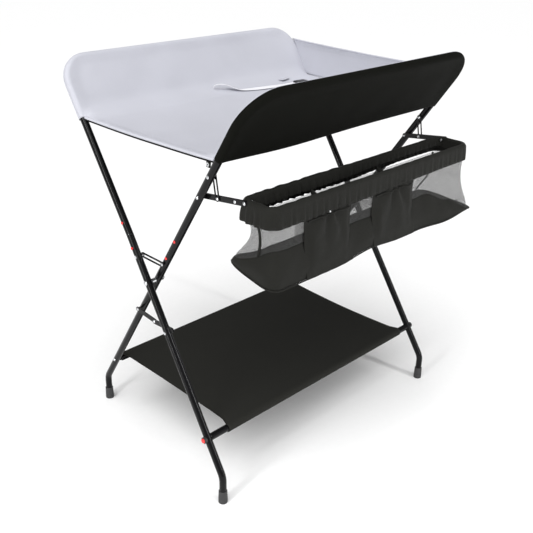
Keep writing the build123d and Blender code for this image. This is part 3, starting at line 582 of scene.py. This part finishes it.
def rim_piping():
    """Thin pale piping in the seam between liner and cover, round both wings."""
    for name, lean in (("piping_rear", REAR), ("piping_front", FRONT)):
        wing = WINGS[lean]
        side = list(wing.stations(FOLD_R, 12, 14))
        line = []
        out = (CLOTH_R + 0.0003) * math.sin(SEAM[lean])
        for x, r, out_x, out_r in side:
            line.append((-(x + out * out_x), r + out * out_r))
        mirrored = [(-x, r) for x, r in reversed(line)]
        steps = [(mix(line[-1][0], mirrored[0][0], i / 30), line[-1][1]) for i in range(1, 30)]
        lift = (CLOTH_R + 0.0003) * math.cos(SEAM[lean])
        path = [on_leg(lean, r, x, lift) for x, r in line + steps + mirrored]
        finished(tube_object(name, path, 0.0011, PALE, 8), BLEND, "pale_fabric")


def bed_hem():
    """Rolled hem and two rows of stitches along the bed's open near end."""
    def edge(inset, lift):
        line = []
        for i in range(61):
            v = 1 - 2 * i / 60
            x = inset - bed_half_x(v)
            line.append(Vector((x, PIVOT.y + v * FOLD_Y, BED_Z - bed_sag(x / bed_half_x(v), v) + lift)))
        return line

    hem = tube_object("bed_hem", edge(-0.0004, -0.0026), 0.0034, PALE, 12)
    stitches = stitch_object("bed_stitches", [edge(0.008, 0.0008), edge(0.014, 0.0008)], THREAD)
    tape = tube_object("bed_tape", edge(0.0005, -0.0078), 0.0026, BLACK, 10)
    finished(hem, BLEND, "pale_fabric")
    finished(tape, BLEND, "black_fabric")
    finished(stitches, BLEND, "pale_fabric")


# ---- belt, buckle and corner tab ---------------------------------------------------------------
BELT_WIDE, BELT_THICK = 0.025, 0.0013


def strap(name, path, width, turn, material, lift=0.0):
    """A flat strap along a path; turn(t) rolls it about its own run, in radians."""
    path = [Vector(p) for p in path]
    rows = []
    for i, point in enumerate(path):
        t = i / (len(path) - 1)
        run = (path[min(i + 1, len(path) - 1)] - path[max(i - 1, 0)]).normalized()
        side = run.cross(Vector((0, 0, 1))).normalized()
        up = side.cross(run)
        across = side * math.cos(turn(t)) + up * math.sin(turn(t))
        rise = abs(math.sin(turn(t))) * width / 2 + lift
        rows.append([point + across * width * k + Vector((0, 0, rise)) for k in (-0.5, -0.25, 0, 0.25, 0.5)])
    return grid_object(name, rows, material, BELT_THICK, soften=1)


def block(name, start, end, sections, material, square=4.0):
    """A moulded block lofted from start to end; sections are (share along, half width, low, high)."""
    start, end = Vector(start), Vector(end)
    run = (end - start).normalized()
    side = run.cross(Vector((0, 0, 1))).normalized()
    rows = []
    for share, half, low, high in sections:
        ring = []
        for k in range(24):
            a = 2 * math.pi * k / 24
            round_x = math.copysign(abs(math.cos(a)) ** (2 / square), math.cos(a))
            round_z = math.copysign(abs(math.sin(a)) ** (2 / square), math.sin(a))
            ring.append(start + (end - start) * share + side * half * round_x
                        + Vector((0, 0, mix(low, high, (round_z + 1) / 2))))
        rows.append(ring)
    piece = grid_object(name, rows, material, closed=True)
    close_ends(piece)
    return piece


def belt_path(start, end, bow, count=26):
    start, end = Vector(start), Vector(end)
    side = (end - start).cross(Vector((0, 0, 1))).normalized()
    path = []
    for i in range(count):
        t = i / (count - 1)
        spot = start.lerp(end, t) + side * bow * math.sin(math.pi * t)
        u, v = spot.x / BED_FAR_X, (spot.y - PIVOT.y) / FOLD_Y
        path.append(Vector((spot.x, spot.y, BED_Z - bed_sag(u, v) + 0.0018 + 0.001 * wander(t, 0, 0, 4, 7))))
    return path


def belt():
    socket_low, socket_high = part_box("buckle_socket")
    tongue_low, tongue_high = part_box("buckle_tongue")
    socket = (socket_low + socket_high) / 2 + Vector((0.022, -0.014, 0))
    tongue = (tongue_low + tongue_high) / 2
    rear_y, front_y = PIVOT.y + FOLD_Y - 0.004, PIVOT.y - FOLD_Y + 0.004
    rear_path = belt_path((0.012, rear_y, 0), (socket.x - 0.014, socket.y + 0.006, 0), 0.012)
    front_path = belt_path((0.03, front_y, 0), (tongue.x - 0.016, tongue.y - 0.012, 0), -0.01)

    def rear_turn(t):
        return 1.0 * math.exp(-((t - 0.06) / 0.15) ** 2)

    rear = strap("belt_rear_webbing", rear_path, BELT_WIDE, rear_turn, WEBBING)
    front = strap("belt_front_webbing", front_path, BELT_WIDE, lambda t: 0.25 * math.sin(5 * t), WEBBING)
    finished(rear, BLEND, "white_webbing", "belt_rear")
    finished(front, BLEND, "white_webbing", "belt_front")
    label = strap("care_label", belt_path((0.252, rear_y - 0.02, 0), (0.288, rear_y - 0.014, 0), 0, 8), 0.022,
                  lambda t: 0.08, PALE, 0.003)
    finished(label, BLEND, "pale_fabric")

    ground = BED_Z - 0.0035
    run = (rear_path[-1] - rear_path[-2]).normalized()
    back, tip = socket - run * 0.02, socket + run * 0.02
    back.z = tip.z = ground
    case = block("buckle_case", back, tip,
                 [(0, 0.0125, 0.001, 0.0065), (0.04, 0.0145, 0, 0.008), (0.3, 0.0155, 0, 0.0092),
                  (0.5, 0.0128, 0, 0.0095), (0.7, 0.0128, 0, 0.0095), (0.9, 0.0162, 0, 0.009),
                  (1.0, 0.0155, 0.0006, 0.0078)], PLASTIC)
    bar = block("buckle_case_bar", back + Vector((0, 0, 0.0022)), back + run * 0.004 + Vector((0, 0, 0.0022)),
                [(0, 0.014, 0, 0.006), (1, 0.014, 0, 0.007)], PLASTIC)
    finished(case, BLEND, "black_plastic", "buckle_socket")
    finished(bar, BLEND, "black_plastic")
    run = (front_path[-1] - front_path[-2]).normalized()
    side = run.cross(Vector((0, 0, 1))).normalized()
    root = tongue - run * 0.018
    root.z = ground
    plate = block("buckle_plate", root, root + run * 0.016,
                  [(0, 0.0135, 0.0006, 0.0052), (0.1, 0.015, 0, 0.006), (0.9, 0.015, 0, 0.006),
                   (1, 0.0135, 0.0006, 0.0052)], PLASTIC)
    finished(plate, BLEND, "black_plastic", "buckle_tongue")
    for k, hand in enumerate((-1, 0, 1)):
        base = root + run * 0.014 + side * 0.0105 * hand
        barb = 0.0034 if hand else 0.002
        prong = block("buckle_prong_%d" % k, base, base + run * 0.022 + side * 0.0015 * hand,
                      [(0, 0.0024, 0.001, 0.0045), (0.6, 0.0022, 0.001, 0.0044),
                       (0.85, barb, 0.001, 0.0044), (1, 0.0014, 0.0016, 0.0036)], PLASTIC)
        finished(prong, BLEND, "black_plastic")


def corner_tab():
    """Black webbing tab that holds the press stud under the near front corner."""
    low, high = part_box("corner_tab")
    rows = []
    for i in range(7):
        t = i / 6
        rows.append([Vector((high.x + 0.0006 * math.sin(4 * t), mix(low.y, high.y, k / 4),
                             mix(high.z + 0.006, low.z, t))) for k in range(5)])
    tab = grid_object("corner_webbing", rows, BASKET_CLOTH_GREYER_AND_FLASHLIT, 0.0012, soften=1)
    finished(tab, "inner_frame", "black_fabric", "corner_tab")


# ---- the shelf cloth ---------------------------------------------------------------------------
def shelf():
    """Shelf cloth pulled round both cross tubes, its ends hemmed and a little hollow."""
    front_low, front_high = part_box("shelf_tube_front")
    rear_low, rear_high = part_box("shelf_tube_rear")
    cloth_low, cloth_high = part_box("shelf_cloth")
    wrap = CLOTH_R + 0.0004
    axis_z = (front_low.z + front_high.z) / 2
    front_y, rear_y = (front_low.y + front_high.y) / 2, (rear_low.y + rear_high.y) / 2
    profile = []
    for k in range(12):
        a = math.radians(-150 + 240 * k / 11)
        profile.append((front_y - wrap * math.cos(a), axis_z + wrap * math.sin(a), 0.0))
    for k in range(1, 40):
        t = k / 40
        profile.append((mix(front_y, rear_y, t), axis_z + wrap, t))
    for k in range(12):
        a = math.radians(90 - 240 * k / 11)
        profile.append((rear_y + wrap * math.cos(a), axis_z + wrap * math.sin(a), 1.0))

    def spot(y, z, t, u):
        flare = math.exp(-((t / 0.035) ** 2)) + math.exp(-(((1 - t) / 0.035) ** 2))
        hollow = 0.006 * (1 - (2 * t - 1) ** 2)
        x = mix(cloth_low.x + hollow - 0.008 * flare, cloth_high.x - hollow + 0.008 * flare, (u + 1) / 2)
        middle = (1 - (2 * t - 1) ** 2)
        sag = 0.0035 * middle + 0.0012 * wander(u * 2, t * 2, 0, 12, 1.3) * middle
        return Vector((x, y, z - sag))

    rows = [[spot(y, z, t, 2 * j / 48 - 1) for j in range(49)] for y, z, t in profile]
    cloth = grid_object("shelf_panel", rows, SHELF_CLOTH_PAINTED_TOPLIT, 0.0011, soften=1)
    top = [spot(*p, u) + Vector((0, 0, 0.0004)) for u in (-1, 1) for p in profile[11:52]]
    half = len(top) // 2
    hems = []
    for name, line in (("shelf_hem_near", top[:half]), ("shelf_hem_far", top[half:])):
        hems.append(tube_object(name, line, 0.0017, SHELF_CLOTH_PAINTED_TOPLIT, 8))
    lines = [[spot(*p, u) + Vector((0, 0, 0.0008)) for p in profile[14:49]] for u in (-0.965, 0.965)]
    for t in (0.055, 0.945):
        lines.append([spot(mix(front_y, rear_y, t), axis_z + wrap, t, 2 * j / 60 - 1) + Vector((0, 0, 0.0008))
                      for j in range(61)])
    stitches = stitch_object("shelf_stitches", lines, BASKET_CLOTH_GREYER_AND_FLASHLIT)
    hang = (Vector((0, front_y, axis_z)), Vector((0, rear_y, axis_z)))
    finished(cloth, hang, "black_fabric", "shelf_cloth")
    for piece in hems + [stitches]:
        finished(piece, hang, "black_fabric")


# ---- the basket --------------------------------------------------------------------------------
HOOP_LOW, HOOP_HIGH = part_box("basket_hoop")
WIRE_R = 0.004
HOOP_Z = HOOP_HIGH.z - WIRE_R
HOOP_TURN = 0.020
BAND_LOW_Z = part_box("basket_band")[0].z
WALL_TOP_Z = BAND_LOW_Z + 0.012          # the netting starts here, inside the band
LEDGE_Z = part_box("basket_bottom")[1].z
FLOOR_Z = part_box("basket_bottom")[0].z
SEAM_FRONT_Z, SEAM_FAR_Z, SEAM_REAR_Z = 0.689, 0.658, 0.646    # netting meets the bottom cloth
EDGE_FRONT_Z, EDGE_REAR_Z = 0.606, 0.626                       # the bottom cloth's outer edge
NEAR_X, FAR_X = HOOP_LOW.x + WIRE_R, HOOP_HIGH.x - WIRE_R      # the hoop wire's own middle line
RIM_FRONT, RIM_REAR = HOOP_LOW.y + WIRE_R, HOOP_HIGH.y - WIRE_R
LONG_STEPS, SHORT_STEPS, TURN_STEPS = 170, 24, 7


def rim_points(turn_x, turn_y):
    """Places round a rounded square from -1 to 1, with their outward directions."""
    spots = []
    corners = ((1, -1, -90), (1, 1, 0), (-1, 1, 90), (-1, -1, 180))
    for n, (cx, cy, start) in enumerate(corners):
        for k in range(TURN_STEPS + 1):
            a = math.radians(start + 90 * k / TURN_STEPS)
            spots.append((cx * (1 - turn_x) + turn_x * math.cos(a), cy * (1 - turn_y) + turn_y * math.sin(a),
                          math.cos(a), math.sin(a)))
        nx, ny, _ = corners[(n + 1) % 4]
        end = math.radians(start + 90)
        goal = (nx * (1 - turn_x) + turn_x * math.cos(end), ny * (1 - turn_y) + turn_y * math.sin(end))
        steps = SHORT_STEPS if n % 2 == 0 else LONG_STEPS
        first = spots[-1]
        for k in range(1, steps):
            spots.append((mix(first[0], goal[0], k / steps), mix(first[1], goal[1], k / steps),
                          math.cos(end), math.sin(end)))
    return spots


RIM = rim_points(2 * HOOP_TURN / (FAR_X - NEAR_X), 2 * HOOP_TURN / (RIM_REAR - RIM_FRONT))


def gather(u, w):
    """How gathered the band is: most at the near end and along the near half of the back."""
    near = smooth((0.1 - u) / 0.5)
    return 0.25 + 0.75 * near * (0.35 + 0.65 * smooth((w + 0.6) / 1.2))


def pleat(run, seed):
    """Uneven pleats along the rim, about -1 to 1."""
    bend = run + 0.011 * wander(run, 0, 0, seed, 14)
    return 0.6 * math.sin(bend * 2 * math.pi / 0.021) + 0.4 * math.sin(bend * 2 * math.pi / 0.0132 + 1.3)


def rim_runs():
    runs, total, last = [], 0.0, None
    for u, w, _, _ in RIM:
        spot = Vector((mix(NEAR_X, FAR_X, (u + 1) / 2), mix(RIM_FRONT, RIM_REAR, (w + 1) / 2), 0))
        total += (spot - last).length if last else 0.0
        last = spot
        runs.append(total)
    return runs


RUNS = rim_runs()


def band():
    """Band folded over the hoop wire: outside, over the top and down the inside."""
    rows = []
    profile = [("out", k / 9) for k in range(10)] + [("over", k / 8) for k in range(1, 8)]
    profile += [("in", k / 8) for k in range(9)]
    for part, t in profile:
        row = []
        for (u, w, out_x, out_y), run in zip(RIM, RUNS):
            x, y = mix(NEAR_X, FAR_X, (u + 1) / 2), mix(RIM_FRONT, RIM_REAR, (w + 1) / 2)
            full = gather(u, w)
            fold = pleat(run, 5)
            lump = 0.0026 * full * wander(run, 0, 0, 8, 45) + 0.0016 * full
            radius = WIRE_R + 0.0016 + lump
            low_z = BAND_LOW_Z + 0.004 + 0.005 * smooth((u + 0.2) / 0.9) + 0.0015 * wander(run, 0, 0, 6, 20)
            if part == "out":
                depth = math.sin(math.pi * min(1.0, (1 - t) * 1.15) / 2)
                out = radius + 0.0012 + depth * (0.0046 * full * (fold + 0.7) + 0.0012)
                z = mix(low_z, HOOP_Z, t)
            elif part == "over":
                out, z = radius * math.cos(math.pi * t), HOOP_Z + radius * math.sin(math.pi * t)
            else:
                depth = math.sin(math.pi * t / 2)
                out = -radius - depth * (0.003 * full * (fold + 1) + 0.001)
                z = mix(HOOP_Z, low_z + 0.004 + 0.016 * smooth((w + 1) / 2), t)
            row.append(Vector((x + out * out_x, y + out * out_y, z)))
        rows.append(row)
    piece = grid_object("basket_rim_band", rows, BASKET_CLOTH_GREYER_AND_FLASHLIT, 0.0009, closed=True, soften=1)
    finished(piece, "basket", "black_fabric", "basket_band")
    line = [rows[1][n] + Vector((RIM[n][2], RIM[n][3], 0)) * 0.0008 for n in range(0, len(RIM), 2)]
    finished(stitch_object("basket_stitches", [line], PLASTIC), "basket", "black_fabric")


def seam_height(u, w):
    """Where the netting meets the solid bottom cloth, up the wall."""
    front = mix(SEAM_FRONT_Z, SEAM_FAR_Z, smooth((u - 0.52) / 0.24))
    front = mix(front, LEDGE_Z - 0.010, smooth((u - 0.74) / 0.26))
    rear = mix(SEAM_REAR_Z, LEDGE_Z + 0.001, smooth((u + 1) / 0.3))
    return mix(front, rear, smooth((w + 1) / 2))


def ledge_height(u, w):
    """Height of the bottom's outer edge."""
    front = EDGE_FRONT_Z + 0.010 * math.exp(-((u + 0.12) / 0.2) ** 2) + 0.013 * smooth((u - 0.6) / 0.4)
    front += 0.004 * math.exp(-((u - 0.35) / 0.3) ** 2)
    near_tip = 0.006 * smooth((-u - 0.8) / 0.2) * smooth((w - 0.2) / 0.8)
    return mix(front, EDGE_REAR_Z, smooth((w + 1) / 2)) + near_tip


def wall_point(u, w, v):
    """The basket's wall: v is 0 at the band, 1 at the seam with the bottom cloth and 2 at its edge."""
    height, ledge = seam_height(u, w), ledge_height(u, w)
    if v <= 1:
        z = mix(WALL_TOP_Z, height, v)
        share = (WALL_TOP_Z - z) / (WALL_TOP_Z - ledge)
    else:
        z = mix(height, ledge, v - 1)
        share = mix((WALL_TOP_Z - height) / (WALL_TOP_Z - ledge), 1.0, v - 1)
    flare = share ** 1.9
    waist = math.sin(math.pi * min(1, share * 1.25))
    near_x = NEAR_X - 0.001 + 0.009 * waist - 0.008 * flare
    far_x = FAR_X + 0.001 - 0.004 * waist + 0.004 * flare
    front_y = RIM_FRONT - 0.004 + 0.004 * waist - 0.016 * flare - 0.014 * smooth((u - 0.4) / 0.4) * flare
    rear_y = RIM_REAR - 0.004 - 0.008 * waist + 0.044 * flare
    x = mix(near_x, far_x, (u + 1) / 2)
    y = mix(front_y, rear_y, (w + 1) / 2)
    slack = 0.0022 * math.sin(math.pi * share)
    x += slack * wander(u * 3, w, share, 14, 1.5)
    y += slack * wander(u * 5, w, share, 15, 1.7) * (1.6 if v > 1 else 1)
    return Vector((x, y, z))


def front_u(x):
    """The place along the front, -1 to 1, at that x."""
    return 2 * (x - NEAR_X) / (FAR_X - NEAR_X) - 1


def walls():
    net_rows = [[wall_point(u, w, i / 10) for u, w, _, _ in RIM] for i in range(11)]
    net = grid_object("basket_netting", net_rows, NETTING, closed=True)
    finished(net, "basket", "black_mesh", "basket_mesh_wall")
    for name, u, w, lean in (("near", -1.0, 0.02, -0.06), ("far", 0.93, 1.0, 0.0)):
        rows = []
        for i in range(13):
            v = i / 12
            middle = wall_point(u, w + lean * v, v)
            side = (wall_point(u + (0.01 if name == "far" else 0), w + 0.05 * (name == "near"), v) - middle)
            side = side.normalized() * 0.0042
            out = Vector((-0.0012, 0, 0)) if name == "near" else Vector((0.0006, 0.0012, 0))
            rows.append([middle - side + out, middle + out * 1.4, middle + side + out])
        finished(grid_object("basket_strap_" + name, rows, BASKET_CLOTH_GREYER_AND_FLASHLIT, 0.0012, soften=1),
                               "basket", "black_fabric")

    rows = []
    for i in range(12):
        v = i / 11
        row = []
        for (u, w, out_x, out_y), run in zip(RIM, RUNS):
            spot = wall_point(u, w, 1 + v)
            bulge = 0.006 * math.sin(math.pi * v) * (1 - 0.5 * smooth((w + 1) / 2))
            crease = 0.0022 * math.sin(math.pi * v) * wander(run, v * 0.06, 0, 21, 26)
            row.append(spot + Vector((out_x, out_y, 0)) * (bulge + crease))
        rows.append(row)
    middle_y = (RIM_FRONT + RIM_REAR) / 2 + 0.004
    for i in range(1, 13):
        t = i / 12
        row = []
        for (u, w, _, _), edge in zip(RIM, rows[11]):
            x = edge.x * (1 - 0.10 * t)
            y = mix(edge.y, middle_y, t)
            sag = 0.007 * math.sin(math.pi * min(1, t * 0.9))
            crumple = 0.0035 * wander(x, y, 0, 23, 17) * smooth(t * 3)
            z = mix(edge.z, max(FLOOR_Z + 0.004, edge.z - 0.012), smooth(t))
            row.append(Vector((x, y, z - sag + crumple)))
        rows.append(row)
    bottom = grid_object("basket_sling_bottom", rows, BASKET_CLOTH_GREYER_AND_FLASHLIT, 0.0009, closed=True, soften=1)
    finished(bottom, "basket", "black_fabric", "basket_bottom")
    edge_line = [p + Vector((o[2], o[3], 0)) * 0.0008 for p, o in zip(rows[11], RIM)][::2]
    finished(tube_object("basket_ledge_seam", edge_line, 0.0016, BASKET_CLOTH_GREYER_AND_FLASHLIT, 8, closed=True),
             "basket", "black_fabric")


def pocket(name, node, low_shift, high_shift, puff, notch):
    """Solid panel on the front wall with a cinched pocket; notch 1 narrows its middle and adds a stud."""
    low_x, high_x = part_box(node)[0].x + low_shift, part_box(node)[1].x + high_shift
    across, down = 44, 36
    cinch_x = mix(low_x, high_x, 0.52)
    rows = []
    for i in range(down + 1):
        v = i / down
        row = []
        for j in range(across + 1):
            t = j / across
            x = mix(low_x, high_x, t)
            u = front_u(x)
            base = wall_point(u, -1.0, 2 * v)
            if i == 0:
                base.z = BAND_LOW_Z + 0.014
            dx, dz = x - cinch_x, (BAND_LOW_Z + 0.016) - base.z
            angle = math.atan2(dx, dz + 0.012)
            reach = math.hypot(dx, dz)
            folds = math.sin(angle * 7.5 + 1.1 * wander(angle, 0, 0, 31, 2.0)) * smooth(reach / 0.03)
            folds *= math.exp(-(reach / 0.095) ** 2)
            edge = smooth(t / 0.16) * smooth((1 - t) / 0.16)
            belly = math.sin(math.pi * min(1.0, v * 1.02)) ** 1.3
            out = 0.0042 + edge * (puff * belly + 0.0042 * folds) + 0.0012 * wander(x, 0, base.z, 33, 40)
            side = 0.004 * notch * math.sin(math.pi * v)
            row.append(Vector((x + side * (1 - 2 * t), base.y - max(out, 0.0022), base.z)))
        rows.append(row)
    piece = grid_object(name, rows, BASKET_CLOTH_GREYER_AND_FLASHLIT, 0.0009, soften=1)
    finished(piece, "basket", "black_fabric", node)
    top = rows[4]
    rim = [p + Vector((0, -0.0016, 0.0)) for p in top[3:-3]]
    finished(tube_object(name + "_rim", rim, 0.0021, BASKET_CLOTH_GREYER_AND_FLASHLIT, 8), "basket", "black_fabric")
    if notch:
        stud_at = rows[2][int(across * 0.52)] + Vector((0, -0.004, 0))
        stud = block(name + "_stud", stud_at + Vector((0, 0.002, 0)), stud_at + Vector((0, -0.002, 0)),
                     [(0, 0.0026, -0.0026, 0.0026), (0.6, 0.0026, -0.0026, 0.0026),
                      (1, 0.0014, -0.0014, 0.0014)], ZINC, 2.0)
        finished(stud, "basket", "zinc_steel")


def dividers():
    """Two cloth walls across the basket, sagging along their top edges."""
    low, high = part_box("basket_dividers")
    places = (("basket_divider_near", low.x + 0.001), ("basket_divider_far", high.x - 0.001))
    for n, (name, x0) in enumerate(places):
        rows = []
        for i in range(13):
            t = i / 12
            row = []
            for j in range(15):
                w = 2 * j / 14 - 1
                front, rear = wall_point(front_u(x0), -1, 2 * t), wall_point(front_u(x0), 1, 2 * t)
                y = mix(front.y + 0.004, rear.y - 0.003, j / 14)
                top = HOOP_Z - 0.016 - 0.012 * (1 - w * w)
                z = mix(top, FLOOR_Z + 0.010, t)
                x = x0 + 0.006 * math.sin(math.pi * t) * wander(w, t, 0, 41 + n, 1.4) + 0.003 * (1 - w * w)
                row.append(Vector((x, y, z)))
            rows.append(row)
        piece = grid_object(name, rows, NETTING)
        finished(piece, "basket", "black_mesh", *(["basket_dividers"] if n == 0 else []))
        top = [rows[0], [mix(a, b, 1.2) for a, b in zip(rows[0], rows[1])]]
        hem = finished(grid_object(name + "_hem", top, BASKET_CLOTH_GREYER_AND_FLASHLIT, 0.0016), "basket", "black_fabric")


def basket():
    band()
    walls()
    pocket("basket_pouch_near", "basket_pocket_left", 0.0, 0.0, 0.009, 1.0)
    pocket("basket_pouch_far", "basket_pocket_right", -0.004, -0.003, 0.011, 0.0)
    dividers()


sling()
end_panel()
rim_piping()
bed_hem()
belt()
corner_tab()
shelf()
basket()


# ---- floor, light and camera -----------------------------------------------------------------
def stage():
    """A plain pale floor that reaches past the picture."""
    rows = [[Vector((x, y, 0)) for x in (-30, 0, 30)] for y in (-30, 0, 30)]
    nodes = Nodes("paper")
    grain = nodes.noise(60.0, 2.0)
    nodes.set(Base_Color=nodes.colour(grain, (0.9, 0.9, 0.9), (0.93, 0.93, 0.93)), Roughness=0.9,
              Specular_IOR_Level=0.05)
    grid_object("floor", rows, nodes.material)


def lamp(name, kind, place, target, power, **values):
    """A light of that kind at place, turned to target."""
    data = bpy.data.lights.new(name, kind)
    data.energy = power
    for key, value in values.items():
        setattr(data, key, value)
    holder = bpy.data.objects.new(name, data)
    holder.location = place
    holder.rotation_euler = (Vector(target) - Vector(place)).to_track_quat("-Z", "Y").to_euler()
    bpy.context.scene.collection.objects.link(holder)


def surroundings():
    world = bpy.data.worlds.new("studio")
    world.use_nodes = True
    world.node_tree.nodes["Background"].inputs["Color"].default_value = (1, 1, 1, 1)
    world.node_tree.nodes["Background"].inputs["Strength"].default_value = 0.34
    bpy.context.scene.world = world
    middle = (0, 0, 0.6)
    lamp("sky", "SUN", (-1.2, -0.6, 3.0), (0, 0, 0), 2.6, angle=math.radians(60))
    lamp("strip_left", "AREA", (-3.2, -0.6, 1.7), middle, 45, shape="RECTANGLE", size=0.25, size_y=2.4)
    lamp("strip_front", "AREA", (0.8, -3.0, 1.6), middle, 40, shape="RECTANGLE", size=0.25, size_y=2.4)


def camera():
    """Looks down the table's length from its front left, at the photograph's angle."""
    yaw, pitch, roll = math.radians(45.07), math.radians(25.47), math.radians(1.27)
    forward = Vector((math.sin(yaw) * math.cos(pitch), math.cos(yaw) * math.cos(pitch), -math.sin(pitch)))
    side = forward.cross(Vector((0, 0, 1))).normalized()
    up = side.cross(forward)
    right = side * math.cos(roll) + up * math.sin(roll)
    up = right.cross(forward)
    lens = bpy.data.cameras.new("camera")
    lens.lens, lens.sensor_width = 52.6, 36.0
    holder = bpy.data.objects.new("camera", lens)
    turn = Matrix((right, up, -forward)).transposed().to_4x4()
    holder.matrix_world = Matrix.Translation((-1.393, -1.3524, 1.354)) @ turn
    bpy.context.scene.collection.objects.link(holder)
    bpy.context.scene.camera = holder


def cad_finishes():
    """Each carried-over CAD node takes the material of its record slot."""
    finishes = {"black_tube": PAINT, "zinc_steel": ZINC, "red_plastic": RED, "black_plastic": PLASTIC,
                "black_rubber": RUBBER, "pale_fabric": PALE, "black_fabric": BLACK,
                "black_mesh": BLACK, "white_webbing": WEBBING}
    for part in frame["record"]["subparts"]:
        node = frame["nodes"][part["node"]]
        node.data.materials.clear()
        node.data.materials.append(finishes[part["material_slot"]])


cad_finishes()
stage()
surroundings()
camera()
bpy.context.scene.view_settings.view_transform = "Standard"
